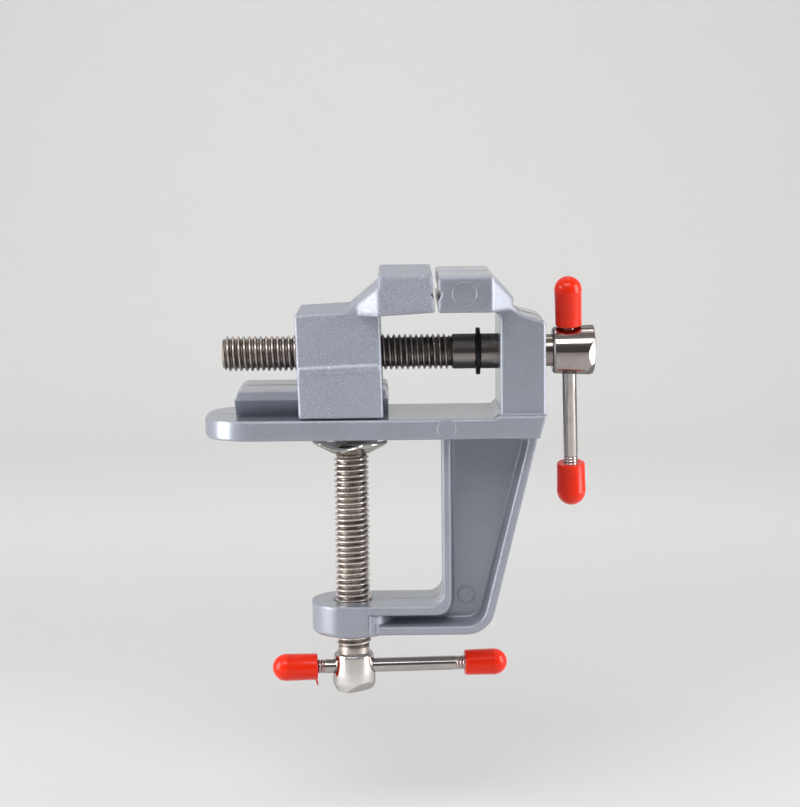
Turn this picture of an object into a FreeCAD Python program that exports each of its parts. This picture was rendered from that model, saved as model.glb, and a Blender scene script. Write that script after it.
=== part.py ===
import FreeCAD, Part
import math
import os

# Mini table vise, in millimetres. X runs from the moving jaw to the fixed jaw, Z is up,
# and Y runs across the jaws. The origin is on the underside of the slide bed, where the
# axis of the table clamp screw meets it, so the plane Z = 0 rests on the table top.

Vector = FreeCAD.Vector

# General values
full_turn = 360.0
overrun = 1.0
slide_clearance = 0.25
running_clearance = 0.08
casting_edge = 0.45
closeness_share = 0.01

# Slide bed, the plate that rests on the table
bed_left = -32.6
bed_right = 43.4
bed_back_rake = 1.4
bed_width = 28.0
bed_thickness = 4.5
bed_plan_radius = 11.0
bed_nose_lead = 0.4
bed_nose_radius = 2.2
bed_top_radius = 1.2
foot_rise = 0.6
foot_lead = 0.5

# Dovetail rail on the bed
rail_left = -25.4
rail_length = 33.9
rail_width = 20.0
rail_neck_width = 10.0
rail_undercut = 4.2
rail_flank = 2.2
rail_end_radius = 2.0

# Pillar that carries the fixed jaw
pillar_inner = 33.3
pillar_width = 25.0
pillar_edge = 0.7
window_radius = 1.3
jaw_root_fillet = 2.2
shoulder_height = 26.9
shoulder_corner_height = 25.8
shoulder_corner_radius = 1.5
gusset_run = 6.2
gusset_hollow = 2.2

# Fixed jaw
jaw_width = 35.0
jaw_bottom = 28.2
jaw_height = 8.0
fixed_jaw_face = 19.7
fixed_jaw_length = 11.7
fixed_jaw_edge = 0.7
jaw_flare_share = 0.96
face_groove_height = 2.5
face_groove_depth = 0.6

# Clamp arm under the bed
arm_width = 17.5
arm_web = 4.5
arm_inner = 20.5
arm_drop = 38.6
arm_leg_height = 6.6
arm_outer_run = 9.6
arm_throat_radius = 3.2
arm_heel_radius = 6.5
arm_edge = 0.35
inner_rib = 1.7
outer_rib = 1.9
leg_top_flange = 2.0
leg_bottom_flange = 1.9
pocket_draft = 0.7
pocket_corner = 1.6
pocket_floor_fillet = 0.4
pocket_boss_angle = 68.0

# Boss that holds the clamp screw
boss_radius = 9.4
boss_sink = 0.6
boss_edge = 1.0
mouth_chamfer = 0.5

# Ejector pin marks on the front of the frame
mark_depth = 0.12
mark_land = 0.35
jaw_mark_radius = 2.8
bed_mark_radius = 2.2
web_mark_radius = 2.1
jaw_mark_inset = 6.0
web_mark_rise = 1.3

# Moving jaw
block_left = -11.1
block_length = 18.6
block_lean = 0.6
block_width = 27.5
block_height = 23.0
block_top_rise = 0.6
bed_gap = 0.35
slant_start = 11.6
slant_rise = 5.4
moving_jaw_length = 12.3
moving_jaw_underside = 27.6
moving_jaw_face_rise = 0.7
moving_jaw_height = 9.1
jaw_gap = 0.7
face_lean = 0.45
moving_flare_run = 4.6
moving_edge = 0.6
notch_height = 1.8
notch_depth = 0.7
bead_height = 10.5
bead_radius = 1.6
bead_proud = 0.45

# Screws: a coarse 8 mm thread on both
screw_axis_height = 18.1
thread_diameter = 8.0
thread_pitch = 1.25
thread_depth_share = 0.6134
crest_share = 0.16
root_share = 0.2
thread_end_chamfer = 0.8

# Main screw
main_thread_left = -28.5
main_thread_length = 51.4
shank_diameter = 7.9
neck_diameter = 7.2
neck_length = 2.2
main_head_gap = 2.2
main_head_length = 9.7
main_head_neck_side_diameter = 10.5
main_head_diameter = 11.3
main_head_dome = 0.7
head_chamfer = 0.5
main_hole_inset = 3.8
main_facet_angles = (-155.0, -75.0, 20.0)
main_facet_slope = 48.0
main_facet_reach_share = 0.76

# Retaining ring in the groove of the main screw
ring_diameter = 10.6
ring_thickness = 0.9
ring_wall_gap = 4.0
ring_groove_depth = 0.75
ring_side_clearance = 0.1
ring_bore_clearance = 0.1
ring_mouth = 5.6
ring_relief = 0.8
ring_relief_angle = 50.0
ring_prong_angle = 100.0

# Handle bars and their caps
bar_diameter = 3.2
bar_length = 48.0
bar_hole_clearance = 0.3
bar_end_chamfer = 0.3
grip_rings = 3
grip_ring_inset = 7.0
grip_ring_pitch = 0.7
grip_ring_depth = 0.18
cap_wall_at_end = 3.0
cap_bore_clearance = 0.02
cap_mouth_radius = 0.4
upper_cap_length = 11.0
upper_cap_diameter = 6.1
lower_cap_length = 10.1
lower_cap_diameter = 6.6
left_cap_length = 10.3
left_cap_diameter = 6.2
right_cap_length = 9.8
right_cap_diameter = 6.0
main_bar_tilt = 10.0
main_bar_lean = 1.7
main_bar_seat_gap = 0.4
clamp_bar_yaw = 4.0
clamp_bar_shift = 8.3

# Table clamp screw and its pad
pad_rest_gap = 1.5
pad_diameter = 17.6
pad_height = 3.2
pad_metal = 0.8
pad_floor_diameter = 9.0
pad_rim_height = 1.1
pad_rim_inset = 0.5
pad_petals = 3
pad_notch_turn = -16.0
pad_notch_half_width = 4.6
pad_notch_floor = 0.9
pad_play = 0.15
pad_hole_clearance = 0.3
tip_diameter = 5.0
nub_diameter = 6.6
nub_height = 0.9
clamp_thread_length = 44.7
clamp_neck_length = 1.3
clamp_head_length = 9.3
clamp_head_top_diameter = 8.9
clamp_head_diameter = 9.7
clamp_head_swell_share = 0.55
clamp_head_round = 2.0
head_round_share = 0.3
clamp_hole_drop = 3.4
clamp_facet_turn = 36.0
clamp_facet_slope = 50.0
clamp_facet_height = 2.8

# Places worked out from the sizes above
rail_right = rail_left + rail_length
rail_top = bed_thickness + rail_undercut + rail_flank
pillar_outer = bed_right
jaw_top = jaw_bottom + jaw_height
fixed_jaw_back = fixed_jaw_face + fixed_jaw_length
jaw_flare_run = jaw_flare_share * (jaw_width - pillar_width) / 2
arm_bottom = arm_drop + arm_leg_height
boss_top = -arm_drop
boss_bottom = -arm_bottom - boss_sink
thread_radius = thread_diameter / 2
nut_radius = thread_radius + running_clearance
shank_radius = shank_diameter / 2
block_right = block_left + block_length
block_bottom = bed_thickness + bed_gap
block_top = block_bottom + block_height
moving_face = fixed_jaw_face - jaw_gap
moving_jaw_back = moving_face - moving_jaw_length
moving_jaw_top = moving_jaw_underside + moving_jaw_height
main_head_start = pillar_outer + main_head_gap
main_hole = main_head_start + main_hole_inset
main_thread_right = main_thread_left + main_thread_length
ring_centre = pillar_inner - ring_wall_gap - ring_thickness / 2
ring_groove_radius = shank_radius - ring_groove_depth
bar_radius = bar_diameter / 2
bar_hole_radius = bar_radius + bar_hole_clearance
pad_top = -pad_rest_gap
pad_floor_top = pad_top - pad_height + pad_metal
pad_floor_bottom = pad_top - pad_height
clamp_shoulder = pad_floor_bottom - pad_play
clamp_thread_end = clamp_shoulder - clamp_thread_length
clamp_head_top = clamp_thread_end - clamp_neck_length
clamp_hole = clamp_head_top - clamp_hole_drop


def unit(vector):
    """The vector at length one."""
    return vector * (1 / vector.Length)


def rounded_wire(corners, place):
    """Closed wire through corners (u, v, radius), each corner rounded by its radius.

    place turns the pair u, v into a point in space.
    """
    flat = [Vector(u, v, 0) for u, v, radius in corners]
    pieces = []
    count = len(corners)
    for index in range(count):
        corner = flat[index]
        before = unit(flat[index - 1] - corner)
        after = unit(flat[(index + 1) % count] - corner)
        radius = corners[index][2]
        if radius > 0:
            half_angle = before.getAngle(after) / 2
            reach = radius / math.tan(half_angle)
            centre = corner + unit(before + after) * (radius / math.sin(half_angle))
            middle = centre + unit(corner - centre) * radius
            pieces.append((corner + before * reach, middle, corner + after * reach))
        else:
            pieces.append((corner, None, corner))
    edges = []
    for index in range(count):
        start, middle, end = pieces[index]
        if middle is not None:
            points = [place(point.x, point.y) for point in (start, middle, end)]
            edges.append(Part.Arc(*points).toShape())
        following = pieces[(index + 1) % count][0]
        edges.append(Part.makeLine(place(end.x, end.y), place(following.x, following.y)))
    return Part.Wire(edges)


def side_slab(corners, width):
    """Solid with the outline corners (x, z, radius), spread evenly across Y."""
    wire = rounded_wire(corners, lambda x, z: Vector(x, -width / 2, z))
    return Part.Face(wire).extrude(Vector(0, width, 0))


def plan_slab(corners, low, high):
    """Solid with the outline corners (x, y, radius) between two heights."""
    wire = rounded_wire(corners, lambda x, y: Vector(x, y, low))
    return Part.Face(wire).extrude(Vector(0, 0, high - low))


def rail_slab(corners, left, right):
    """Solid with the outline corners (y, z, radius) between two places along X."""
    wire = rounded_wire(corners, lambda y, z: Vector(left, y, z))
    return Part.Face(wire).extrude(Vector(right - left, 0, 0))


def turned(profile, place):
    """Solid turned from profile points (along, radius) about a line.

    place turns a pair along, radius into a point; the line is where radius is zero.
    """
    points = [place(along, radius) for along, radius in profile]
    axis_start = place(profile[0][0], 0)
    axis_end = place(profile[-1][0], 0)
    face = Part.Face(Part.makePolygon(points + [points[0]]))
    return face.revolve(axis_start, axis_end - axis_start, full_turn)


def along_x(height):
    """Placer for a piece turned about the X direction at a height."""
    return lambda along, radius: Vector(along, 0, height + radius)


def along_z(along, radius):
    """Placer for a piece turned about the Z axis."""
    return Vector(radius, 0, along)


def rod(radius, start, end):
    """Cylinder between two points."""
    way = end - start
    return Part.makeCylinder(radius, way.Length, start, way)


def soften(shape, radius, chosen):
    """Round every edge of the shape that the test picks."""
    edges = [edge for edge in shape.Edges if chosen(edge)]
    return shape.makeFillet(radius, edges)


def lies_at_y(edge, y):
    """True for an edge that lies in the plane at y."""
    box = edge.BoundBox
    close = casting_edge * closeness_share
    return abs(box.YMin - y) < close and abs(box.YMax - y) < close


def on_both_sides(width):
    """Test for the edges in the two planes that bound a width across Y."""
    return lambda edge: lies_at_y(edge, -width / 2) or lies_at_y(edge, width / 2)


def beyond_plane(point, normal, size):
    """Block that fills the outer side of a plane through a point."""
    block = Part.makeBox(2 * size, 2 * size, size, Vector(-size, -size, 0))
    block.Placement = FreeCAD.Placement(point, FreeCAD.Rotation(Vector(0, 0, 1), normal))
    return block


def thread_profile(start, end):
    """Points (along, radius) of a coarse thread from start to end, chamfered at both ends."""
    direction = 1 if end > start else -1
    depth = thread_depth_share * thread_pitch
    crest = crest_share * thread_pitch
    root = root_share * thread_pitch
    flank = (thread_pitch - crest - root) / 2
    turns = int(abs(end - start) / thread_pitch)
    lead = (abs(end - start) - turns * thread_pitch) / 2
    root_radius = thread_radius - depth
    points = [(start, root_radius)]
    for turn in range(turns):
        here = start + direction * (lead + turn * thread_pitch)
        crest_start = here + direction * flank
        crest_end = crest_start + direction * crest
        next_root = crest_end + direction * flank
        points.append((here, root_radius))
        points.append((crest_start, thread_radius))
        points.append((crest_end, thread_radius))
        points.append((next_root, root_radius))
    points.append((end, root_radius))
    distinct = [points[0]]
    for point in points[1:]:
        if abs(point[0] - distinct[-1][0]) > thread_pitch * closeness_share:
            distinct.append(point)
    return distinct


def make_bed():
    """Slide bed: a plate with a round left end and a slightly raised foot for the pillar."""
    half = bed_width / 2
    plan = plan_slab([
        (bed_left, -half, bed_plan_radius),
        (bed_right + overrun, -half, 0),
        (bed_right + overrun, half, 0),
        (bed_left, half, bed_plan_radius),
    ], -overrun, rail_top)
    foot_top = bed_thickness + foot_rise
    side = side_slab([
        (bed_left - bed_nose_lead, 0, bed_nose_radius),
        (bed_right - bed_back_rake, 0, 0),
        (bed_right, foot_top, 0),
        (pillar_inner - foot_lead, foot_top, 0),
        (pillar_inner - foot_lead - foot_rise, bed_thickness, 0),
        (bed_left - bed_nose_lead, bed_thickness, bed_top_radius),
    ], bed_width + 2 * overrun)
    bed = plan.common(side)
    return soften(bed, casting_edge, on_both_sides(bed_width))


def rail_section(clearance, foot_height, top_height):
    """Corners (y, z, radius) of the dovetail, grown by a clearance on its sides."""
    half = rail_width / 2
    neck = rail_neck_width / 2
    slope = (half - neck) / rail_undercut
    widest = bed_thickness + rail_undercut - clearance
    foot_half = half + clearance - slope * (widest - foot_height)
    return [
        (-foot_half, foot_height, 0),
        (-half - clearance, widest, 0),
        (-half - clearance, top_height, 0),
        (half + clearance, top_height, 0),
        (half + clearance, widest, 0),
        (foot_half, foot_height, 0),
    ]


def make_rail():
    """Dovetail rail with rounded upper ends."""
    section = rail_slab(rail_section(0, bed_thickness, rail_top), rail_left, rail_right)
    side = side_slab([
        (rail_left, bed_thickness, 0),
        (rail_right, bed_thickness, 0),
        (rail_right, rail_top, rail_end_radius / 2),
        (rail_left, rail_top, rail_end_radius),
    ], rail_width + 2 * overrun)
    return section.common(side)


def make_pillar():
    """Pillar behind the fixed jaw, with its sloping back and the rounded window corner."""
    gusset_foot = fixed_jaw_back + gusset_run
    pillar = side_slab([
        (pillar_inner, bed_thickness, 0),
        (pillar_inner, jaw_bottom, jaw_root_fillet),
        (fixed_jaw_back - jaw_root_fillet, jaw_bottom, 0),
        (fixed_jaw_back - jaw_root_fillet, jaw_top, 0),
        (fixed_jaw_back, jaw_top, 0),
        (gusset_foot, shoulder_height + casting_edge, gusset_hollow),
        (pillar_outer, shoulder_corner_height, shoulder_corner_radius),
        (pillar_outer, bed_thickness, 0),
    ], pillar_width)
    pillar = soften(pillar, pillar_edge, on_both_sides(pillar_width))
    corner = side_slab([
        (pillar_inner - window_radius, bed_thickness, 0),
        (pillar_inner + overrun, bed_thickness, 0),
        (pillar_inner + overrun, bed_thickness + window_radius, 0),
        (pillar_inner, bed_thickness + window_radius, 0),
    ], pillar_width - 2 * pillar_edge)
    return pillar.fuse(corner)


def make_fixed_jaw():
    """Fixed jaw: wide at the face, flared down to the pillar behind it."""
    half = jaw_width / 2
    narrow = pillar_width / 2
    flare_end = fixed_jaw_back + jaw_flare_run
    plan = plan_slab([
        (fixed_jaw_face, -half, 0),
        (fixed_jaw_back, -half, casting_edge),
        (flare_end, -narrow, 0),
        (flare_end, narrow, 0),
        (fixed_jaw_back, half, casting_edge),
        (fixed_jaw_face, half, 0),
    ], jaw_bottom - overrun, jaw_top + overrun)
    gusset_foot = fixed_jaw_back + gusset_run
    side = side_slab([
        (fixed_jaw_face, jaw_bottom, fixed_jaw_edge),
        (flare_end, jaw_bottom, 0),
        (gusset_foot, jaw_bottom, 0),
        (gusset_foot, shoulder_height + casting_edge + gusset_hollow, 0),
        (fixed_jaw_back, jaw_top, 0),
        (fixed_jaw_face, jaw_top, fixed_jaw_edge),
    ], jaw_width + 2 * overrun)
    jaw = plan.common(side)
    jaw = soften(jaw, casting_edge, on_both_sides(jaw_width))
    chord = face_groove_height / 2
    groove_radius = (chord ** 2 + face_groove_depth ** 2) / (2 * face_groove_depth)
    groove_x = fixed_jaw_face + face_groove_depth - groove_radius
    groove_z = jaw_bottom + jaw_height / 2
    reach = half + overrun
    groove = rod(groove_radius, Vector(groove_x, -reach, groove_z), Vector(groove_x, reach, groove_z))
    return jaw.cut(groove)


def arm_outer_x(depth):
    """X of the arm's outer edge at a depth below the bed."""
    start = bed_right - bed_back_rake
    return start - arm_outer_run * depth / arm_drop


def pocket_wire(inset, y):
    """Outline of the arm's side pocket, drawn in by an inset, at a place across Y."""
    slant = math.hypot(arm_outer_run, arm_drop) / arm_drop
    rib = (outer_rib + inset) * slant
    left = arm_inner + inner_rib + inset
    roof = -inset
    leg_roof = -arm_drop - leg_top_flange - inset
    floor = -arm_bottom + leg_bottom_flange + inset
    end = boss_radius * math.cos(math.radians(pocket_boss_angle)) + inset
    corner = pocket_corner - inset / 2
    heel = arm_heel_radius - outer_rib - inset
    return rounded_wire([
        (left, roof, corner),
        (left, leg_roof, arm_throat_radius + inset / 2),
        (end, leg_roof, 0),
        (end, floor, 0),
        (arm_outer_x(-floor) - rib, floor, heel),
        (arm_outer_x(-roof) - rib, roof, corner),
    ], lambda x, z: Vector(x, y, z))


def make_pocket(side):
    """Tapered tool that cuts one side pocket; side is -1 for the front and 1 for the back."""
    mouth = pocket_wire(0, side * (arm_width / 2))
    floor_y = side * arm_web / 2
    floor = pocket_wire(pocket_draft, floor_y)
    pocket = Part.makeLoft([mouth, floor], True, True)
    pocket = soften(pocket, pocket_floor_fillet, lambda edge: lies_at_y(edge, floor_y))
    collar = Part.Face(mouth).extrude(Vector(0, side * overrun, 0))
    return pocket.fuse(collar)


def make_arm():
    """Arm that reaches from the bed round the table edge to the boss."""
    arm = side_slab([
        (arm_inner, bed_thickness / 2, 0),
        (arm_inner, -arm_drop, arm_throat_radius),
        (0, -arm_drop, 0),
        (0, -arm_bottom, 0),
        (arm_outer_x(arm_bottom), -arm_bottom, arm_heel_radius),
        (arm_outer_x(0), 0, 0),
        (arm_outer_x(0), bed_thickness / 2, 0),
    ], arm_width)
    arm = soften(arm, arm_edge, on_both_sides(arm_width))
    boss = Part.makeCylinder(boss_radius, boss_top - boss_bottom, Vector(0, 0, boss_bottom))
    boss = soften(boss, boss_edge, lambda edge: edge.BoundBox.ZMax < boss_bottom + boss_edge / 2)
    flats = Part.makeBox(2 * boss_radius + 2 * overrun, arm_width, arm_bottom,
                         Vector(-boss_radius - overrun, -arm_width / 2, boss_bottom - overrun))
    for side in (-1, 1):
        arm = arm.cut(make_pocket(side))
    return arm.fuse(boss.common(flats))


def ejector_mark(x, y, z, radius):
    """Shallow ring that an ejector pin leaves on a surface facing the front."""
    start = Vector(x, y - overrun, z)
    end = Vector(x, y + mark_depth, z)
    return rod(radius, start, end).cut(rod(radius - mark_land, start, end))


def make_frame():
    """The one casting: bed, rail, pillar, fixed jaw, clamp arm and boss."""
    frame = make_bed()
    for piece in (make_rail(), make_pillar(), make_fixed_jaw(), make_arm()):
        frame = frame.fuse(piece)
    frame = frame.removeSplitter()
    bore_start = Vector(pillar_inner - overrun, 0, screw_axis_height)
    bore_end = Vector(pillar_outer + overrun, 0, screw_axis_height)
    frame = frame.cut(rod(shank_radius + running_clearance, bore_start, bore_end))
    chamfer_radius = nut_radius + mouth_chamfer
    frame = frame.cut(rod(nut_radius, Vector(0, 0, boss_bottom - overrun), Vector(0, 0, boss_top + overrun)))
    for height, outward in ((boss_top, 1), (boss_bottom, -1)):
        inner = Vector(0, 0, height - outward * mouth_chamfer)
        mouth = Part.makeCone(nut_radius, chamfer_radius, mouth_chamfer, inner, Vector(0, 0, outward))
        frame = frame.cut(mouth)
    jaw_mark = ejector_mark(fixed_jaw_back - jaw_mark_inset, -jaw_width / 2,
                            jaw_bottom + jaw_height / 2, jaw_mark_radius)
    bed_mark = ejector_mark(arm_inner + inner_rib / 2, -bed_width / 2, bed_thickness / 2,
                            bed_mark_radius)
    web_mark = ejector_mark(arm_inner + arm_throat_radius + web_mark_radius, -arm_web / 2,
                            -arm_drop + web_mark_rise, web_mark_radius)
    for mark in (jaw_mark, bed_mark, web_mark):
        frame = frame.cut(mark)
    return frame


def make_moving_jaw():
    """Moving jaw: a block that rides the dovetail, with the wide jaw on its upper right."""
    lean_right = block_right - block_lean
    slant_foot = block_left - block_lean + slant_start
    slant_top = block_top + block_top_rise + slant_rise
    block = side_slab([
        (block_left, block_bottom, casting_edge),
        (block_right, block_bottom, casting_edge),
        (lean_right, moving_jaw_underside + overrun, 0),
        (moving_jaw_back + overrun, slant_top - overrun, 0),
        (moving_jaw_back, slant_top, 0),
        (slant_foot, block_top + block_top_rise, casting_edge),
        (block_left - block_lean, block_top, moving_edge),
    ], block_width)
    block = soften(block, moving_edge, on_both_sides(block_width))
    half = jaw_width / 2
    narrow = block_width / 2
    plan = plan_slab([
        (slant_foot, -narrow, 0),
        (moving_jaw_back - moving_flare_run, -narrow, 0),
        (moving_jaw_back, -half, 0),
        (moving_face + overrun, -half, 0),
        (moving_face + overrun, half, 0),
        (moving_jaw_back, half, 0),
        (moving_jaw_back - moving_flare_run, narrow, 0),
        (slant_foot, narrow, 0),
    ], moving_jaw_underside - overrun, moving_jaw_top + overrun)
    underside_back = moving_jaw_back - moving_flare_run
    side = side_slab([
        (underside_back, moving_jaw_underside, 0),
        (moving_jaw_back, moving_jaw_underside, 0),
        (moving_face, moving_jaw_underside + moving_jaw_face_rise, moving_edge),
        (moving_face - face_lean, moving_jaw_top, moving_edge),
        (moving_jaw_back, moving_jaw_top, moving_edge),
        (moving_jaw_back, slant_top, 0),
        (slant_foot, block_top + block_top_rise, 0),
        (underside_back, block_top + block_top_rise - casting_edge, 0),
    ], jaw_width + 2 * overrun)
    jaw = plan.common(side)
    on_sides = on_both_sides(jaw_width)
    clear_of_back = moving_jaw_back + casting_edge
    jaw = soften(jaw, casting_edge, lambda edge: on_sides(edge) and edge.BoundBox.XMax > clear_of_back)
    body = block.fuse(jaw).removeSplitter()

    bead_z = block_bottom + bead_height
    bead_y = block_width / 2 + bead_proud - bead_radius
    for side_sign in (-1, 1):
        bead_left = block_left - block_lean / 2 + moving_edge
        bead_right = block_right - block_lean / 2 - moving_edge
        start = Vector(bead_left, side_sign * bead_y, bead_z)
        end = Vector(bead_right, side_sign * bead_y, bead_z + block_top_rise)
        body = body.fuse(rod(bead_radius, start, end))

    channel = rail_slab(rail_section(slide_clearance, block_bottom - overrun, rail_top + slide_clearance),
                        block_left - overrun, block_right + overrun)
    body = body.cut(channel)
    bore_start = Vector(block_left - overrun - block_lean, 0, screw_axis_height)
    bore_end = Vector(block_right + overrun, 0, screw_axis_height)
    body = body.cut(rod(nut_radius, bore_start, bore_end))

    notch_z = jaw_bottom + jaw_height / 2
    face_x = moving_face - face_lean / 2
    reach = jaw_width / 2 + overrun
    opening_half = notch_height / 2 * (1 + overrun / notch_depth)
    points = [
        Vector(face_x - notch_depth, -reach, notch_z),
        Vector(face_x + overrun, -reach, notch_z - opening_half),
        Vector(face_x + overrun, -reach, notch_z + opening_half),
    ]
    notch = Part.Face(Part.makePolygon(points + [points[0]])).extrude(Vector(0, 2 * reach, 0))
    return body.cut(notch)


def main_bar_way():
    """Direction of the main screw's cross hole and of the bar in it."""
    tilt = math.radians(main_bar_tilt)
    lean = math.radians(main_bar_lean)
    return Vector(-math.sin(lean), -math.sin(tilt) * math.cos(lean), math.cos(tilt) * math.cos(lean))


def make_main_screw():
    """Main screw: thread, plain shank with the ring groove, neck and drilled head."""
    head_radius = main_head_diameter / 2
    neck_side_radius = main_head_neck_side_diameter / 2
    head_end = main_head_start + main_head_length
    groove_half = ring_thickness / 2 + ring_side_clearance
    groove_left = ring_centre - groove_half
    groove_right = ring_centre + groove_half
    neck_start = main_head_start - neck_length
    neck_radius = neck_diameter / 2
    profile = [(main_thread_left, 0)]
    profile += thread_profile(main_thread_left, main_thread_right)
    profile += [
        (main_thread_right + thread_end_chamfer, shank_radius),
        (groove_left, shank_radius),
        (groove_left, ring_groove_radius),
        (groove_right, ring_groove_radius),
        (groove_right, shank_radius),
        (neck_start, shank_radius),
        (neck_start + (shank_radius - neck_radius), neck_radius),
        (main_head_start, neck_radius),
        (main_head_start, neck_side_radius - head_chamfer),
        (main_head_start + head_chamfer, neck_side_radius),
        (head_end - main_head_dome - head_chamfer, head_radius),
        (head_end - main_head_dome, head_radius - 2 * head_chamfer),
        (head_end, head_radius / 2),
        (head_end, 0),
    ]
    screw = turned(profile, along_x(screw_axis_height))
    way = main_bar_way()
    centre = Vector(main_hole, 0, screw_axis_height)
    reach = head_radius + overrun
    screw = screw.cut(rod(bar_hole_radius, centre - way * reach, centre + way * reach))
    slope = math.radians(main_facet_slope)
    for angle in main_facet_angles:
        turn = math.radians(angle)
        outward = Vector(0, math.cos(turn), math.sin(turn))
        normal = Vector(math.cos(slope), 0, 0) + outward * math.sin(slope)
        rim = Vector(head_end - main_head_dome, 0, screw_axis_height)
        point = rim + outward * head_radius * main_facet_reach_share
        screw = screw.cut(beyond_plane(point, normal, head_radius))
    return screw


def make_ring():
    """Retaining ring: a flat ring with an open mouth, seated in the groove of the shank."""
    outer = ring_diameter / 2
    bore = ring_groove_radius + ring_bore_clearance
    start = Vector(ring_centre - ring_thickness / 2, 0, screw_axis_height)
    end = Vector(ring_centre + ring_thickness / 2, 0, screw_axis_height)
    ring = rod(outer, start, end).cut(rod(bore, start, end))
    mouth = Part.makeBox(ring_thickness + 2 * overrun, outer + overrun, ring_mouth,
                         start - Vector(overrun, 0, ring_mouth / 2))
    relief = Part.makeCylinder(bore + ring_relief, ring_thickness, start, Vector(1, 0, 0), ring_relief_angle)
    ring = ring.cut(mouth)
    for turn in (ring_prong_angle, -ring_prong_angle - ring_relief_angle):
        pocket = relief.copy()
        pocket.rotate(start, Vector(1, 0, 0), turn)
        ring = ring.cut(pocket)
    return ring


def place_on_bar(shape, centre, way, shift):
    """Turn a shape made along Z to the bar's direction and shift it along the bar."""
    placed = shape.copy()
    rotation = FreeCAD.Rotation(Vector(0, 0, 1), way)
    placed.Placement = FreeCAD.Placement(centre + way * shift, rotation).multiply(shape.Placement)
    return placed


def make_bar():
    """Handle bar along Z about its middle, with grip rings where the caps end."""
    half = bar_length / 2
    ring_end = half - grip_ring_inset
    chamfered = bar_radius - bar_end_chamfer
    profile = [(-half, 0), (-half, chamfered), (-half + bar_end_chamfer, bar_radius)]
    for index in range(grip_rings):
        profile += groove_points(-ring_end + index * grip_ring_pitch)
    for index in reversed(range(grip_rings)):
        profile += groove_points(ring_end - grip_ring_pitch / 2 - index * grip_ring_pitch)
    profile += [(half - bar_end_chamfer, bar_radius), (half, chamfered), (half, 0)]
    return turned(profile, along_z)


def groove_points(start):
    """Points (along, radius) of one shallow grip ring that starts at a place on the bar."""
    width = grip_ring_pitch / 2
    return [
        (start, bar_radius),
        (start + width / 2, bar_radius - grip_ring_depth),
        (start + width, bar_radius),
    ]


def make_cap(length, diameter, direction):
    """Push-on cap whose closed round end points along direction on the bar.

    The bar's end stops at the cap's thick end wall.
    """
    cap_radius = diameter / 2
    bore = bar_radius + cap_bore_clearance
    bottom = bar_length / 2
    tip = bottom + cap_wall_at_end
    mouth = tip - length
    points = [(mouth, bore), (mouth, cap_radius - cap_mouth_radius), (mouth + cap_mouth_radius, cap_radius)]
    dome_start = tip - cap_radius
    wire_points = [Vector(radius, 0, along) for along, radius in points]
    edges = [Part.makeLine(wire_points[index], wire_points[index + 1]) for index in range(2)]
    shoulder = Vector(cap_radius, 0, dome_start)
    slant = cap_radius * math.sin(math.pi / 4)
    dome_middle = Vector(slant, 0, dome_start + slant)
    top = Vector(0, 0, tip)
    edges.append(Part.makeLine(wire_points[2], shoulder))
    edges.append(Part.Arc(shoulder, dome_middle, top).toShape())
    edges.append(Part.makeLine(top, Vector(0, 0, bottom)))
    edges.append(Part.makeLine(Vector(0, 0, bottom), Vector(bore, 0, bottom)))
    edges.append(Part.makeLine(Vector(bore, 0, bottom), wire_points[0]))
    cap = Part.Face(Part.Wire(edges)).revolve(Vector(0, 0, 0), Vector(0, 0, 1), full_turn)
    if direction < 0:
        cap.rotate(Vector(0, 0, 0), Vector(1, 0, 0), full_turn / 2)
    return cap


def make_main_handle():
    """Bar and caps of the main screw; the bar has slid down until its upper cap rests on the head."""
    way = main_bar_way()
    centre = Vector(main_hole, 0, screw_axis_height)
    upper_mouth = bar_length / 2 + cap_wall_at_end - upper_cap_length
    shift = main_head_diameter / 2 + main_bar_seat_gap - upper_mouth
    upper_cap = make_cap(upper_cap_length, upper_cap_diameter, 1)
    lower_cap = make_cap(lower_cap_length, lower_cap_diameter, -1)
    return {
        "main_handle_bar": place_on_bar(make_bar(), centre, way, shift),
        "main_handle_cap_upper": place_on_bar(upper_cap, centre, way, shift),
        "main_handle_cap_lower": place_on_bar(lower_cap, centre, way, shift),
    }


def make_clamp_handle():
    """Bar and caps of the clamp screw, slid towards the right."""
    yaw = math.radians(clamp_bar_yaw)
    way = Vector(math.cos(yaw), math.sin(yaw), 0)
    centre = Vector(0, 0, clamp_hole)
    left_cap = make_cap(left_cap_length, left_cap_diameter, -1)
    right_cap = make_cap(right_cap_length, right_cap_diameter, 1)
    return {
        "clamp_handle_bar": place_on_bar(make_bar(), centre, way, clamp_bar_shift),
        "clamp_handle_cap_left": place_on_bar(left_cap, centre, way, clamp_bar_shift),
        "clamp_handle_cap_right": place_on_bar(right_cap, centre, way, clamp_bar_shift),
    }


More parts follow.
